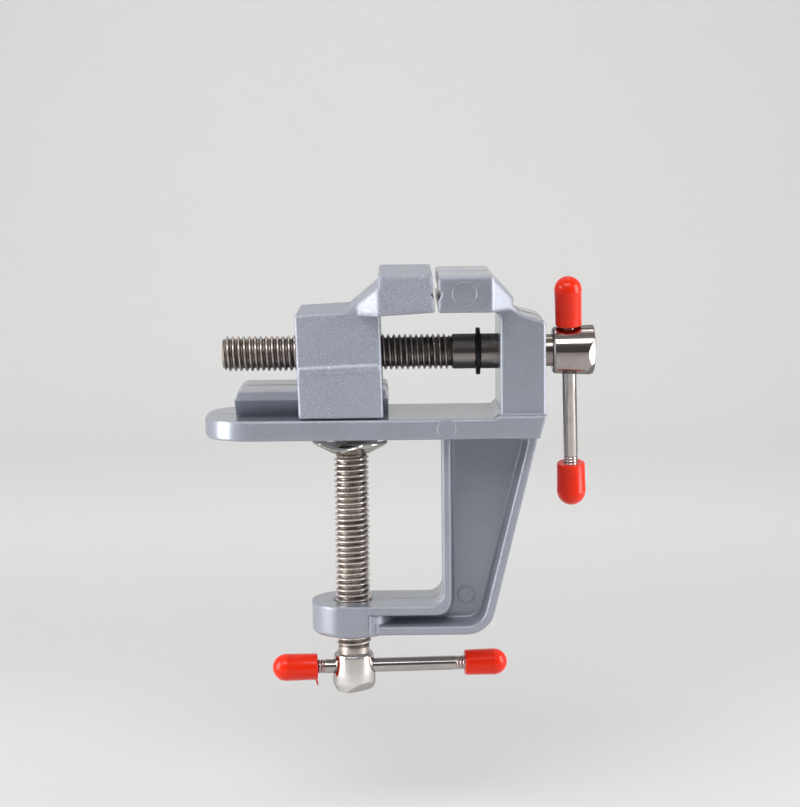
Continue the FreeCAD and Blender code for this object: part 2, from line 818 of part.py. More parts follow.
def make_clamp_screw():
    """Table clamp screw: peened tip inside the pad, thread, neck and drilled head."""
    tip_radius = tip_diameter / 2
    nub_radius = nub_diameter / 2
    neck_radius = neck_diameter / 2
    nub_bottom = pad_floor_top + pad_play
    nub_top = nub_bottom + nub_height
    head_bottom = clamp_head_top - clamp_head_length
    swell = clamp_head_top - clamp_head_length * clamp_head_swell_share
    head_radius = clamp_head_diameter / 2
    top_radius = clamp_head_top_diameter / 2
    round_step = clamp_head_round * head_round_share
    profile = [
        (nub_top, 0),
        (nub_top, nub_radius / 2),
        (nub_bottom + nub_height / 2, nub_radius),
        (nub_bottom, nub_radius),
        (nub_bottom, tip_radius),
        (clamp_shoulder, tip_radius),
    ]
    profile += thread_profile(clamp_shoulder, clamp_thread_end)
    profile += [
        (clamp_thread_end - thread_end_chamfer, neck_radius),
        (clamp_head_top, neck_radius),
        (clamp_head_top, top_radius - head_chamfer),
        (clamp_head_top - head_chamfer, top_radius),
        (swell, head_radius),
        (head_bottom + clamp_head_round, head_radius),
        (head_bottom + round_step, head_radius - round_step),
        (head_bottom, head_radius - clamp_head_round),
        (head_bottom, 0),
    ]
    screw = turned(profile, along_z)
    yaw = math.radians(clamp_bar_yaw)
    way = Vector(math.cos(yaw), math.sin(yaw), 0)
    centre = Vector(0, 0, clamp_hole)
    reach = head_radius + overrun
    screw = screw.cut(rod(bar_hole_radius, centre - way * reach, centre + way * reach))
    turn = math.radians(clamp_facet_turn)
    slope = math.radians(clamp_facet_slope)
    outward = Vector(math.sin(turn), -math.cos(turn), 0)
    normal = outward * math.cos(slope) + Vector(0, 0, -math.sin(slope))
    point = outward * head_radius + Vector(0, 0, head_bottom + clamp_facet_height)
    return screw.cut(beyond_plane(point, normal, head_radius))


def make_pad():
    """Pad: a stamped cup with three petals, open towards the table."""
    floor_radius = pad_floor_diameter / 2
    rim_radius = pad_diameter / 2
    shoulder_radius = rim_radius - pad_rim_inset
    shoulder_z = pad_top - pad_rim_height
    hole_radius = tip_diameter / 2 + pad_hole_clearance
    profile = [
        (pad_floor_bottom, hole_radius),
        (pad_floor_bottom, floor_radius),
        (shoulder_z, shoulder_radius),
        (pad_top, rim_radius),
        (pad_top, rim_radius - pad_metal),
        (shoulder_z + pad_metal / 2, shoulder_radius - pad_metal),
        (pad_floor_top, floor_radius - pad_metal / 2),
        (pad_floor_top, hole_radius),
    ]
    pad = turned(profile, along_z)
    notch_floor = pad_floor_bottom + pad_notch_floor
    depth = pad_top - notch_floor
    notch_radius = (pad_notch_half_width ** 2 + depth ** 2) / (2 * depth)
    notch_z = notch_floor + notch_radius
    for index in range(pad_petals):
        turn = math.radians(pad_notch_turn + index * full_turn / pad_petals)
        way = Vector(math.sin(turn), -math.cos(turn), 0)
        start = way * (tip_diameter / 2 + pad_metal) + Vector(0, 0, notch_z)
        end = way * (rim_radius + overrun) + Vector(0, 0, notch_z)
        pad = pad.cut(rod(notch_radius, start, end))
    return pad


def main():
    """Build every piece and write one file for each."""
    os.makedirs("parts", exist_ok=True)
    pieces = {
        "clamp_frame": make_frame(),
        "moving_jaw": make_moving_jaw(),
        "main_screw": make_main_screw(),
        "retaining_ring": make_ring(),
        "clamp_screw": make_clamp_screw(),
        "clamp_pad": make_pad(),
    }
    pieces.update(make_main_handle())
    pieces.update(make_clamp_handle())
    for name, shape in pieces.items():
        print(name, "solids", len(shape.Solids), "valid", shape.isValid(), "volume", round(shape.Volume, 1))
        shape.exportStep("parts/" + name + ".step")


main()
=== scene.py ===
"""Every size is in millimetres in the classes below and becomes metres where a mesh is made.
X runs from the moving jaw to the fixed jaw, Y runs away from the viewer, and Z is up.
"""

import logging
import math
from dataclasses import dataclass, field
from enum import Enum

import bpy
import numpy as np
from mathutils import Matrix, Vector


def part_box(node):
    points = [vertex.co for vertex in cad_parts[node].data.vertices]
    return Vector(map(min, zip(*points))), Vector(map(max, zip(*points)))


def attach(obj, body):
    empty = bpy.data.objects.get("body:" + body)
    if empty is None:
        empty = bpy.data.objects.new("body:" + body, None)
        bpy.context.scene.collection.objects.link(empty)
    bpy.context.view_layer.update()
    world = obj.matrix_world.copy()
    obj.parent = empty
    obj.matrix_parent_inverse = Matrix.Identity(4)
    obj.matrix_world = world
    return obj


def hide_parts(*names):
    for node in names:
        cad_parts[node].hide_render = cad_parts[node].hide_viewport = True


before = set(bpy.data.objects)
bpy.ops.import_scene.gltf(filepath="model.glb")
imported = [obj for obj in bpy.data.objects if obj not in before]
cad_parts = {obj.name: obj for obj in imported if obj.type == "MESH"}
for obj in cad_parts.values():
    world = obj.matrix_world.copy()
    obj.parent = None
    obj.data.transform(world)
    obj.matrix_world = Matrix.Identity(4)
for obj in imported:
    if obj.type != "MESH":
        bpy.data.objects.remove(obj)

LOG = logging.getLogger("table_vise")
METRES_PER_MM = 0.001
MERGE_MM = 1e-4
CAD_MERGE_METRES = 1e-7
IMAGE_HEIGHT = 807.0
SENSOR_HEIGHT = 36.0
AXIS_X = np.array([1.0, 0.0, 0.0])
AXIS_Y = np.array([0.0, 1.0, 0.0])
AXIS_Z = np.array([0.0, 0.0, 1.0])


class Shading(Enum):
    """How the faces of a piece meet in the render."""

    SMOOTH = 60.0
    TURNED = 32.0
    CAST = 24.0


class Side(Enum):
    """Which end of a handle bar a cap sits on."""

    AHEAD = 1
    BEHIND = -1


def box_mm(node: str) -> tuple[np.ndarray, np.ndarray]:
    """Lowest and highest corner of a CAD node at rest.

    Args:
        node: name of the CAD node.

    Returns:
        Two arrays of X, Y and Z in millimetres.
    """
    low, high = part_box(node)
    return np.array(low) / METRES_PER_MM, np.array(high) / METRES_PER_MM


def unit(vector: np.ndarray) -> np.ndarray:
    """The vector divided by its own length."""
    return vector / np.linalg.norm(vector)


@dataclass
class Skin:
    """Points and faces of one closed skin, in millimetres."""

    points: np.ndarray
    faces: np.ndarray

    def placed(self, matrix: np.ndarray, shift: np.ndarray) -> "Skin":
        """The skin turned by a 3 by 3 matrix and then shifted.

        Args:
            matrix: rotation as rows of a matrix.
            shift: move in millimetres.

        Returns:
            A new skin with the same faces.
        """
        return Skin(self.points @ matrix.T + shift, self.faces)

    def volume(self) -> float:
        """Signed volume: the sum over the faces of corner dot (corner cross corner), over six."""
        corners = self.points[self.faces]
        first = np.einsum("ij,ij->i", corners[:, 0], np.cross(corners[:, 1], corners[:, 2]))
        second = np.einsum("ij,ij->i", corners[:, 0], np.cross(corners[:, 2], corners[:, 3]))
        return float(np.sum(first + second)) / 6

    def outward(self) -> "Skin":
        """The same skin with its faces turned so that they point outwards."""
        return Skin(self.points, self.faces[:, ::-1]) if self.volume() < 0 else self


def grid_skin(grid: np.ndarray) -> Skin:
    """Skin over a grid of points whose last column repeats its first.

    Each cell of the grid joins the points (row, column), (row, column + 1),
    (row + 1, column + 1) and (row + 1, column).

    Args:
        grid: array of rows by columns by three, in millimetres.

    Returns:
        The skin with its faces pointing outwards.
    """
    rows, columns = grid.shape[:2]
    index = np.arange(rows * columns).reshape(rows, columns)
    corners = [index[:-1, :-1], index[:-1, 1:], index[1:, 1:], index[1:, :-1]]
    return Skin(grid.reshape(-1, 3), np.stack(corners, axis=-1).reshape(-1, 4)).outward()


def turned_skin(profile: np.ndarray, columns: int = 96) -> Skin:
    """Skin of a profile turned about Z: x = r cos a, y = r sin a, z = along.

    Args:
        profile: rows of (along, radius), starting and ending on the axis.
        columns: number of steps round the axis.

    Returns:
        A closed skin about the Z axis.
    """
    angle = np.linspace(0.0, 2 * math.pi, columns + 1)
    along = np.repeat(profile[:, :1], columns + 1, axis=1)
    return grid_skin(
        np.stack([profile[:, 1:] * np.cos(angle), profile[:, 1:] * np.sin(angle), along], axis=-1)
    )


def rounded_path(corners: list[tuple[float, float, float]], steps: int = 6) -> np.ndarray:
    """Open path through corners (u, v, radius), each inner corner replaced by an arc.

    An arc starts and ends at radius / tan(half the corner's angle) from the corner, and its
    points are the centre plus the radius times a direction turned in equal steps.

    Args:
        corners: the corners with their radii; the first and last are kept sharp.
        steps: number of steps along each arc.

    Returns:
        Rows of (u, v).
    """
    flat = np.array([corner[:2] for corner in corners], float)
    pieces = [flat[:1]]
    for index in range(1, len(corners) - 1):
        corner = flat[index]
        radius = corners[index][2]
        before = unit(flat[index - 1] - corner)
        after = unit(flat[index + 1] - corner)
        bend = math.acos(float(np.clip(before @ after, -1.0, 1.0)))
        if radius <= 0 or bend > math.pi - 1e-3:
            pieces.append(corner[None, :])
            continue
        centre = corner + unit(before + after) * radius / math.sin(bend / 2)
        start = corner + before * radius / math.tan(bend / 2) - centre
        end = corner + after * radius / math.tan(bend / 2) - centre
        share = np.linspace(0.0, 1.0, steps + 1)[:, None]
        span = math.pi - bend
        arc = (np.sin((1 - share) * span) * start + np.sin(share * span) * end) / math.sin(span)
        pieces.append(centre + arc)
    pieces.append(flat[-1:])
    return np.concatenate(pieces)


def swept_skin(path: np.ndarray, section: np.ndarray) -> Skin:
    """Skin of a closed section carried along a path in the plane Y = 0.

    A point of the section (out, across) goes to path + out times the path's left normal
    + across times Y. Both ends close onto their own middle.

    Args:
        path: rows of (x, z).
        section: rows of (out, across), whose last row repeats its first.

    Returns:
        A closed skin.
    """
    step = np.linalg.norm(np.diff(path, axis=0), axis=1)
    path = path[np.concatenate([[True], step > MERGE_MM])]
    tangent = np.gradient(path, axis=0)
    tangent /= np.linalg.norm(tangent, axis=1)[:, None]
    normal = np.stack([-tangent[:, 1], tangent[:, 0]], axis=1)
    out = section[None, :, 0]
    x = path[:, :1] + normal[:, :1] * out
    z = path[:, 1:] + normal[:, 1:] * out
    y = np.broadcast_to(section[None, :, 1], x.shape)
    grid = np.stack([x, y, z], axis=-1)
    start, end = (
        np.broadcast_to(row.mean(axis=1, keepdims=True), row.shape) for row in (grid[:1], grid[-1:])
    )
    return grid_skin(np.concatenate([start, grid, end]))


def basis_along(way: np.ndarray) -> np.ndarray:
    """Rotation matrix that turns Z to a direction.

    Args:
        way: the direction.

    Returns:
        A 3 by 3 matrix whose last column is the direction.
    """
    ahead = unit(way)
    helper = AXIS_Y if abs(ahead @ AXIS_Y) < 0.9 else AXIS_X
    first = unit(np.cross(helper, ahead))
    return np.stack([first, np.cross(ahead, first), ahead], axis=1)


def merged_points(points: np.ndarray, step: float) -> tuple[np.ndarray, np.ndarray]:
    """Points with their doubles joined.

    Args:
        points: rows of X, Y and Z.
        step: points that round to the same multiple of this are one.

    Returns:
        The kept points, and for each old point the number of its kept one.
    """
    rounded = np.round(points / step).astype(np.int64)
    _, first, where = np.unique(rounded, axis=0, return_index=True, return_inverse=True)
    return points[first], where.reshape(-1)


def make_piece(name: str, skins: list[Skin], shading: Shading) -> bpy.types.Object:
    """Blender object of skins, with doubles merged and faces that have no area removed.

    Args:
        name: name of the piece.
        skins: the skins, in millimetres.
        shading: the angle at which the shading breaks.

    Returns:
        The linked object, at the origin.
    """
    points = []
    faces = []
    offset = 0
    for skin in skins:
        kept, where = merged_points(skin.points, MERGE_MM)
        points.append(kept)
        faces += (where[skin.faces] + offset).tolist()
        offset += len(kept)
    clean = []
    for face in faces:
        ring = [corner for index, corner in enumerate(face) if corner != face[index - 1]]
        if len(ring) > 2 and len(set(ring)) == len(ring):
            clean.append(ring)
    mesh = bpy.data.meshes.new(name)
    mesh.from_pydata((np.concatenate(points) * METRES_PER_MM).tolist(), [], clean)
    return finish_piece(name, mesh, shading)


def finish_piece(name: str, mesh: bpy.types.Mesh, shading: Shading) -> bpy.types.Object:
    """Link a mesh as an object and set its smooth and sharp edges.

    Args:
        name: name of the piece.
        mesh: its mesh, in metres.
        shading: the angle at which the shading breaks.

    Returns:
        The linked object.
    """
    mesh.validate()
    mesh.update()
    mesh.shade_smooth()
    mesh.set_sharp_from_angle(angle=math.radians(shading.value))
    piece = bpy.data.objects.new(name, mesh)
    bpy.context.scene.collection.objects.link(piece)
    return piece


def merged_copy(node: str, name: str) -> bpy.types.Object:
    """A copy of a CAD node's mesh with its doubles joined and its flat faces shaded flat.

    Args:
        node: name of the CAD node.
        name: name of the new piece.

    Returns:
        The linked object, at the origin.
    """
    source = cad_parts[node].data
    points = np.empty(len(source.vertices) * 3)
    source.vertices.foreach_get("co", points)
    source.calc_loop_triangles()
    triangles = np.empty(len(source.loop_triangles) * 3, np.int64)
    source.loop_triangles.foreach_get("vertices", triangles)
    kept, where = merged_points(points.reshape(-1, 3), CAD_MERGE_METRES)
    merged = where[triangles].reshape(-1, 3)
    apart = np.all(merged != np.roll(merged, -1, axis=1), axis=1)
    mesh = bpy.data.meshes.new(name)
    mesh.from_pydata(kept.tolist(), [], merged[apart].tolist())
    piece = finish_piece(name, mesh, Shading.CAST)
    weighted = piece.modifiers.new("flat_faces", "WEIGHTED_NORMAL")
    weighted.mode = "FACE_AREA_WITH_ANGLE"
    weighted.keep_sharp = True
    return piece


class Nodes:
    """Adds and joins the nodes of one shader tree."""

    def __init__(self, tree: bpy.types.NodeTree, coordinates: str) -> None:
        """Keep the tree and its coordinates.

        Args:
            tree: the tree.
            coordinates: Blender's name of the coordinates that patterns read.
        """
        self.tree = tree
        self.coordinates = self.add("ShaderNodeTexCoord").outputs[coordinates]

    def add(self, kind: str) -> bpy.types.Node:
        """A new node of a kind."""
        return self.tree.nodes.new(kind)

    def join(self, socket: bpy.types.NodeSocket, value: object) -> None:
        """Link a socket to an output, or set its value.

        Args:
            socket: input socket.
            value: an output socket, a number or a tuple.
        """
        if isinstance(value, bpy.types.NodeSocket):
            self.tree.links.new(value, socket)
        else:
            socket.default_value = value

    def math(self, operation: str, first: object, second: object) -> bpy.types.NodeSocket:
        """Result of one arithmetic node.

        Args:
            operation: Blender's name of the operation.
            first: first number or socket.
            second: second number or socket.

        Returns:
            The output socket.
        """
        node = self.add("ShaderNodeMath")
        node.operation = operation
        self.join(node.inputs[0], first)
        self.join(node.inputs[1], second)
        return node.outputs[0]

    def ramp(self, value: bpy.types.NodeSocket, span: tuple[float, float], start: float = 0.0,
             end: float = 1.0) -> bpy.types.NodeSocket:
        """A value carried from one range to another with smooth ends.

        Args:
            value: the socket to read.
            span: where the change begins and ends.
            start: result at and below the beginning.
            end: result at and above the end.

        Returns:
            The output socket.
        """
        node = self.add("ShaderNodeMapRange")
        node.interpolation_type = "SMOOTHSTEP"
        for index, number in enumerate((*span, start, end), start=1):
            node.inputs[index].default_value = number
        self.join(node.inputs[0], value)
        return node.outputs[0]

    def along(self, axis: str) -> bpy.types.NodeSocket:
        """The coordinate on one axis.

        Args:
            axis: X, Y or Z.

        Returns:
            The output socket.
        """
        parts = self.add("ShaderNodeSeparateXYZ")
        self.join(parts.inputs[0], self.coordinates)
        return parts.outputs[axis]


class NodeSheet(Nodes):
    """The nodes of one material, on the piece's own coordinates."""

    def __init__(self, name: str) -> None:
        """Start a material with one principled shader.

        Args:
            name: name of the material.
        """
        self.material = bpy.data.materials.new(name)
        self.material.use_nodes = True
        self.material.node_tree.nodes.clear()
        super().__init__(self.material.node_tree, "Object")
        output = self.add("ShaderNodeOutputMaterial")
        self.shader = self.add("ShaderNodeBsdfPrincipled")
        self.join(output.inputs["Surface"], self.shader.outputs[0])

    def dress(self, values: dict[str, object]) -> None:
        """Set the shader's own sockets, or link them.

        Args:
            values: a number, colour or output socket for each socket's name.
        """
        for name, value in values.items():
            self.join(self.shader.inputs[name], value)

    def noise(self, per_metre: float, detail: float,
              stretch: tuple[float, float, float] = (1, 1, 1),
              centre: tuple[float, float, float] = (0, 0, 0)) -> bpy.types.NodeSocket:
        """Noise on the piece's own coordinates.

        Args:
            per_metre: how many patches fit in a metre.
            detail: how many finer layers are added.
            stretch: factor on each axis.
            centre: the place that the stretch starts from, in metres.

        Returns:
            The value socket, from 0 to 1.
        """
        mapping = self.add("ShaderNodeMapping")
        mapping.vector_type = "POINT"
        mapping.inputs["Location"].default_value = [-c * s for c, s in zip(centre, stretch)]
        mapping.inputs["Scale"].default_value = stretch
        self.join(mapping.inputs["Vector"], self.coordinates)
        node = self.add("ShaderNodeTexNoise")
        node.inputs["Scale"].default_value = per_metre
        node.inputs["Detail"].default_value = detail
        self.join(node.inputs["Vector"], mapping.outputs[0])
        return node.outputs[0]

    def vector(self, operation: str, first: bpy.types.NodeSocket,
               second: tuple[float, float, float] = (0.0, 0.0, 0.0)) -> bpy.types.Node:
        """One vector arithmetic node.

        Args:
            operation: Blender's name of the operation.
            first: the socket to read.
            second: second vector.

        Returns:
            The node.
        """
        node = self.add("ShaderNodeVectorMath")
        node.operation = operation
        self.join(node.inputs[0], first)
        node.inputs[1].default_value = second
        return node

    def mix(self, share: object, first: object, second: object) -> bpy.types.NodeSocket:
        """Colour between two colours.

        Args:
            share: 0 for the first colour and 1 for the second.
            first: colour or socket.
            second: colour or socket.

        Returns:
            The colour socket.
        """
        node = self.add("ShaderNodeMix")
        node.data_type = "RGBA"
        for index, value in ((0, share), (6, first), (7, second)):
            self.join(node.inputs[index], value)
        return node.outputs[2]

    def bump(self, height: object, depth_mm: float, edge_mm: float = 0.0,
             radius: bpy.types.NodeSocket | None = None) -> None:
        """Give the shader a normal from a height, on top of softened edges.

        Args:
            height: socket from 0 to 1.
            depth_mm: height of the relief in millimetres.
            edge_mm: radius by which sharp edges look rounded.
            radius: socket with that radius in metres, where it differs from place to place.
        """
        node = self.add("ShaderNodeBump")
        node.inputs["Strength"].default_value = 1.0
        node.inputs["Distance"].default_value = depth_mm * METRES_PER_MM
        self.join(node.inputs["Height"], height)
        if edge_mm > 0:
            edge = self.add("ShaderNodeBevel")
            edge.samples = 6
            self.join(edge.inputs["Radius"], edge_mm * METRES_PER_MM if radius is None else radius)
            self.join(node.inputs["Normal"], edge.outputs[0])
        self.join(self.shader.inputs["Normal"], node.outputs[0])


def grey(value: float) -> tuple[float, float, float, float]:
    """An opaque grey."""
    return (value, value, value, 1.0)


def shade(colour: tuple[float, float, float], factor: float) -> tuple[float, float, float, float]:
    """A colour made darker or lighter, as an opaque colour.

    Args:
        colour: red, green and blue.
        factor: what each is multiplied by.

    Returns:
        Red, green, blue and an alpha of one.
    """
    return (colour[0] * factor, colour[1] * factor, colour[2] * factor, 1.0)


# Noise lies mostly between these two values.
MIDDLE_OF_NOISE = (0.3, 0.7)


@dataclass(frozen=True)
class CastPaint:
    """Satin metallic paint on a die casting, with orange peel, mottle and small bright flecks.

    Factors multiply the colour, and a scale is the number of patches in a metre.
    """

    name: str
    colour: tuple[float, float, float]
    roughness: float = 0.33
    metallic: float = 0.45
    specular: float = 0.45
    gloss: float = 0.7
    gloss_roughness: float = 0.12
    rim_tint: float = 0.4
    edge_mm: float = 1.0
    jaw_edge_mm: float = 1.5
    jaw_from_mm: float = 26.0
    jaw_to_mm: float = 29.0
    mottle_scale: float = 70.0
    mottle_factors: tuple[float, float] = (0.95, 1.04)
    speck_scale: float = 1400.0
    speck_span: tuple[float, float] = (0.35, 0.65)
    speck_factor: float = 1.1
    peel_scale: float = 620.0
    peel_mm: float = 0.006
    grain_scale: float = 2600.0
    grain_mm: float = 0.002
    fleck_scale: float = 4500.0
    fleck_span: tuple[float, float] = (0.57, 0.68)
    fleck_factor: float = 2.4
    fleck_share: float = 0.0

    def build(self) -> bpy.types.Material:
        """Make the material.

        Returns:
            The material, read from object coordinates.
        """
        sheet = NodeSheet(self.name)
        broad = sheet.ramp(sheet.noise(self.mottle_scale, 2), MIDDLE_OF_NOISE)
        fine = sheet.ramp(sheet.noise(self.speck_scale, 3), self.speck_span)
        base = sheet.mix(broad, *(shade(self.colour, factor) for factor in self.mottle_factors))
        half_fine = sheet.math("MULTIPLY", fine, 0.5)
        base = sheet.mix(half_fine, base, shade(self.colour, self.speck_factor))
        rough = sheet.math("ADD", sheet.math("MULTIPLY", fine, 0.10), self.roughness - 0.05)
        if self.fleck_share > 0:
            flecks = sheet.noise(self.fleck_scale, 1)
            fleck = sheet.ramp(flecks, self.fleck_span, 0.0, self.fleck_share)
            base = sheet.mix(fleck, base, shade(self.colour, self.fleck_factor))
            rough = sheet.math("SUBTRACT", rough, sheet.math("MULTIPLY", fleck, 0.25))
        sheet.dress({
            "Base Color": base,
            "Roughness": rough,
            "Metallic": self.metallic,
            "Specular IOR Level": self.specular,
            "Specular Tint": grey(self.rim_tint),
            "Coat Weight": self.gloss,
            "Coat Roughness": self.gloss_roughness,
        })
        peel = sheet.math("MULTIPLY", sheet.noise(self.peel_scale, 2), self.peel_mm)
        grain = sheet.math("MULTIPLY", sheet.noise(self.grain_scale, 2), self.grain_mm)
        depth = self.peel_mm + self.grain_mm
        height = sheet.math("DIVIDE", sheet.math("ADD", peel, grain), depth)
        jaw = (self.jaw_from_mm * METRES_PER_MM, self.jaw_to_mm * METRES_PER_MM)
        radius = sheet.ramp(sheet.along("Z"), jaw, self.edge_mm * METRES_PER_MM,
                            self.jaw_edge_mm * METRES_PER_MM)
        sheet.bump(height, depth, self.edge_mm, radius)
        return sheet.material


@dataclass(frozen=True)
class ThreadSteel:
    """Plated steel of a thread: bright crests, and valleys painted dark brown-grey, partly as
    painted shade and partly as oil and dust.
    """

    name: str
    colour: tuple[float, float, float]
    valley: tuple[float, float, float]
    axis: np.ndarray
    centre_mm: np.ndarray
    root_mm: float
    crest_mm: float
    roughness: float = 0.3
    patch_scale: float = 420.0
    line_scale: float = 700.0
    line_stretch: float = 11.0
    line_mm: float = 0.012
    edge_mm: float = 0.06

    def build(self) -> bpy.types.Material:
        """Make the material: the distance from the screw's axis tells a valley from a crest.

        Returns:
            The material, read from object coordinates.
        """
        sheet = NodeSheet(self.name)
        centre = tuple(self.centre_mm * METRES_PER_MM)
        offset = sheet.vector("SUBTRACT", sheet.coordinates, centre)
        flat = sheet.vector("MULTIPLY", offset.outputs[0], tuple(1.0 - np.abs(self.axis)))
        out = sheet.vector("LENGTH", flat.outputs[0]).outputs["Value"]
        crest = sheet.ramp(out, (self.root_mm * METRES_PER_MM, self.crest_mm * METRES_PER_MM))
        patch = sheet.noise(self.patch_scale, 3)
        valley = sheet.math("SUBTRACT", 1.0, crest)
        # Painted shade plus oil and dust: the valleys, found by their distance from the axis,
        # darken towards the valley colour in patches.
        valley_shade_and_dirt = sheet.math("MULTIPLY", valley, sheet.ramp(patch, MIDDLE_OF_NOISE, 0.55, 1.0))
        rough = sheet.math("ADD", sheet.math("MULTIPLY", valley_shade_and_dirt, 0.22), self.roughness)
        sheet.dress({
            "Base Color": sheet.mix(valley_shade_and_dirt, shade(self.colour, 1.0), shade(self.valley, 1.0)),
            "Roughness": sheet.math("ADD", rough, sheet.ramp(patch, MIDDLE_OF_NOISE, -0.05, 0.05)),
            "Metallic": 1.0,
        })
        stretch = tuple(1.0 + self.line_stretch * np.abs(self.axis))
        sheet.bump(sheet.noise(self.line_scale, 2, stretch, centre), self.line_mm, self.edge_mm)
        return sheet.material


@dataclass(frozen=True)
class BrightPlate:
    """Bright plating with fine turning lines, faint scratches and a few dull spots."""

    name: str
    colour: tuple[float, float, float]
    axis: np.ndarray
    roughness: float = 0.07
    line_mm: float = 0.001
    edge_mm: float = 0.12
    rim_tint: float = 0.45
    cloud_scale: float = 260.0
    cloud_span: tuple[float, float] = (0.35, 0.7)
    cloud_factor: float = 0.86
    spot_scale: float = 900.0
    spot_span: tuple[float, float] = (0.68, 0.74)
    spot_factor: float = 0.5
    line_scale: float = 500.0
    line_stretch: float = 15.0

    def build(self) -> bpy.types.Material:
        """Make the material.

        Returns:
            The material, read from object coordinates.
        """
        sheet = NodeSheet(self.name)
        cloud = sheet.noise(self.cloud_scale, 3)
        spot = sheet.ramp(sheet.noise(self.spot_scale, 2), self.spot_span)
        dull = sheet.ramp(cloud, self.cloud_span)
        base = sheet.mix(dull, shade(self.colour, 1.0), shade(self.colour, self.cloud_factor))
        faint = sheet.math("MULTIPLY", spot, 0.2)
        base = sheet.mix(faint, base, shade(self.colour, self.spot_factor))
        rough = sheet.math("ADD", sheet.ramp(cloud, MIDDLE_OF_NOISE, -0.02, 0.07), self.roughness)
        sheet.dress({
            "Base Color": base,
            "Roughness": sheet.math("ADD", rough, sheet.math("MULTIPLY", spot, 0.05)),
            "Metallic": 1.0,
            "Specular Tint": grey(self.rim_tint),
        })
        stretch = tuple(1.0 + self.line_stretch * np.abs(self.axis))
        sheet.bump(sheet.noise(self.line_scale, 2, stretch), self.line_mm, self.edge_mm)
        return sheet.material


@dataclass(frozen=True)
class BlackSpring:
    """Black oxide on spring steel, a little worn."""

    name: str
    colour: tuple[float, float, float] = (0.018, 0.018, 0.02)
    worn: float = 0.10
    cloud_scale: float = 900.0
    wear_scale: float = 1500.0
    wear_span: tuple[float, float] = (0.62, 0.72)

    def build(self) -> bpy.types.Material:
        """Make the material.

        Returns:
            The material, read from object coordinates.
        """
        sheet = NodeSheet(self.name)
        cloud = sheet.noise(self.cloud_scale, 3)
        wear = sheet.ramp(sheet.noise(self.wear_scale, 2), self.wear_span, 0.0, 0.5)
        sheet.dress({
            "Base Color": sheet.mix(wear, shade(self.colour, 1.0), grey(self.worn)),
            "Roughness": sheet.ramp(cloud, MIDDLE_OF_NOISE, 0.32, 0.5),
            "Metallic": 0.7,
        })
        sheet.bump(cloud, 0.01, 0.08)
        return sheet.material


@dataclass(frozen=True)
class SoftPlastic:
    """Glossy dipped plastic with faint draw lines along the cap and a slightly uneven gloss."""

    name: str
    colour: tuple[float, float, float]
    way: np.ndarray
    roughness: float = 0.30
    cloud_scale: float = 150.0
    cloud_factors: tuple[float, float] = (0.94, 1.05)
    line_scale: float = 1500.0
    line_stretch: float = -0.85

    def build(self) -> bpy.types.Material:
        """Make the material.

        Returns:
            The material, read from object coordinates.
        """
        sheet = NodeSheet(self.name)
        cloud = sheet.noise(self.cloud_scale, 2)
        uneven = sheet.ramp(cloud, MIDDLE_OF_NOISE, -0.02, 0.03)
        sheet.dress({
            "Base Color": sheet.mix(sheet.ramp(cloud, MIDDLE_OF_NOISE),
                                    *(shade(self.colour, factor) for factor in self.cloud_factors)),
            "Roughness": sheet.math("ADD", uneven, self.roughness),
            "Coat Weight": 0.26,
            "Coat Roughness": 0.12,
            "Subsurface Weight": 0.08,
            "Subsurface Radius": (1.0, 0.15, 0.05),
            "Subsurface Scale": 0.0008,
            "Specular IOR Level": 0.22,
        })
        stretch = tuple(1.0 + self.line_stretch * np.abs(self.way))
        sheet.bump(sheet.noise(self.line_scale, 2, stretch), 0.003, 0.15)
        return sheet.material


@dataclass(frozen=True)
class StudioFloor:
    """Pale matt floor, paler towards the backdrop."""

    name: str = "studio_floor"
    value: float = 0.6
    far_value: float = 0.8
    near_mm: float = 120.0
    far_mm: float = 420.0

    def build(self) -> bpy.types.Material:
        """Make the material.

        Returns:
            The material.
        """
        sheet = NodeSheet(self.name)
        span = (self.near_mm * METRES_PER_MM, self.far_mm * METRES_PER_MM)
        base = sheet.mix(sheet.ramp(sheet.along("Y"), span), grey(self.value), grey(self.far_value))
        cloud = sheet.math("MULTIPLY", sheet.noise(6, 2), 0.02)
        sheet.dress({
            "Base Color": sheet.mix(cloud, base, grey(0.0)),
            "Roughness": 0.9,
            "Specular IOR Level": 0.1,
        })
        return sheet.material


CASTING_COLOUR = (0.335, 0.352, 0.41)
CAST_GREY = CastPaint("cast_grey", CASTING_COLOUR)
CAST_TRIM = CastPaint("cast_trim", CASTING_COLOUR, edge_mm=0.0)
CAST_FLECKED = CastPaint("cast_flecked", CASTING_COLOUR, roughness=0.48, metallic=0.4, gloss=0.2,
                         edge_mm=0.45, jaw_edge_mm=1.8, peel_mm=0.01, grain_mm=0.012,
                         fleck_share=0.45)
STEEL_COLOUR = (0.58, 0.53, 0.49)
# Dark brown of the thread valleys: painted shade plus oil and dust.
VALLEY_SHADE_AND_DIRT_COLOUR = (0.10, 0.075, 0.055)
PLATE_COLOUR = (0.43, 0.39, 0.37)
BAR_COLOUR = (0.52, 0.48, 0.45)
# Painted shade: the shank's plating is darker than the head's because the shank sits enclosed in
# the casting's shade.
SHADED_SHANK_COLOUR = (0.30, 0.27, 0.25)
# The clamp screw's steel and plating are lighter copies of the main screw's steel and plating:
# painted light on the lower screw, painted shade on the upper one.
LIT_LOWER_STEEL_COLOUR = (0.80, 0.74, 0.69)
LIT_LOWER_PLATE_COLOUR = (0.80, 0.76, 0.73)
PAD_COLOUR = (0.72, 0.70, 0.66)
CAP_COLOUR = (0.78, 0.020, 0.001)


def report(piece: bpy.types.Object, body: str) -> None:
    """Log one finished piece.

    Args:
        piece: the piece.
        body: the body it rides on.
    """
    LOG.info("%s rides on %s with %d faces", piece.name, body, len(piece.data.polygons))


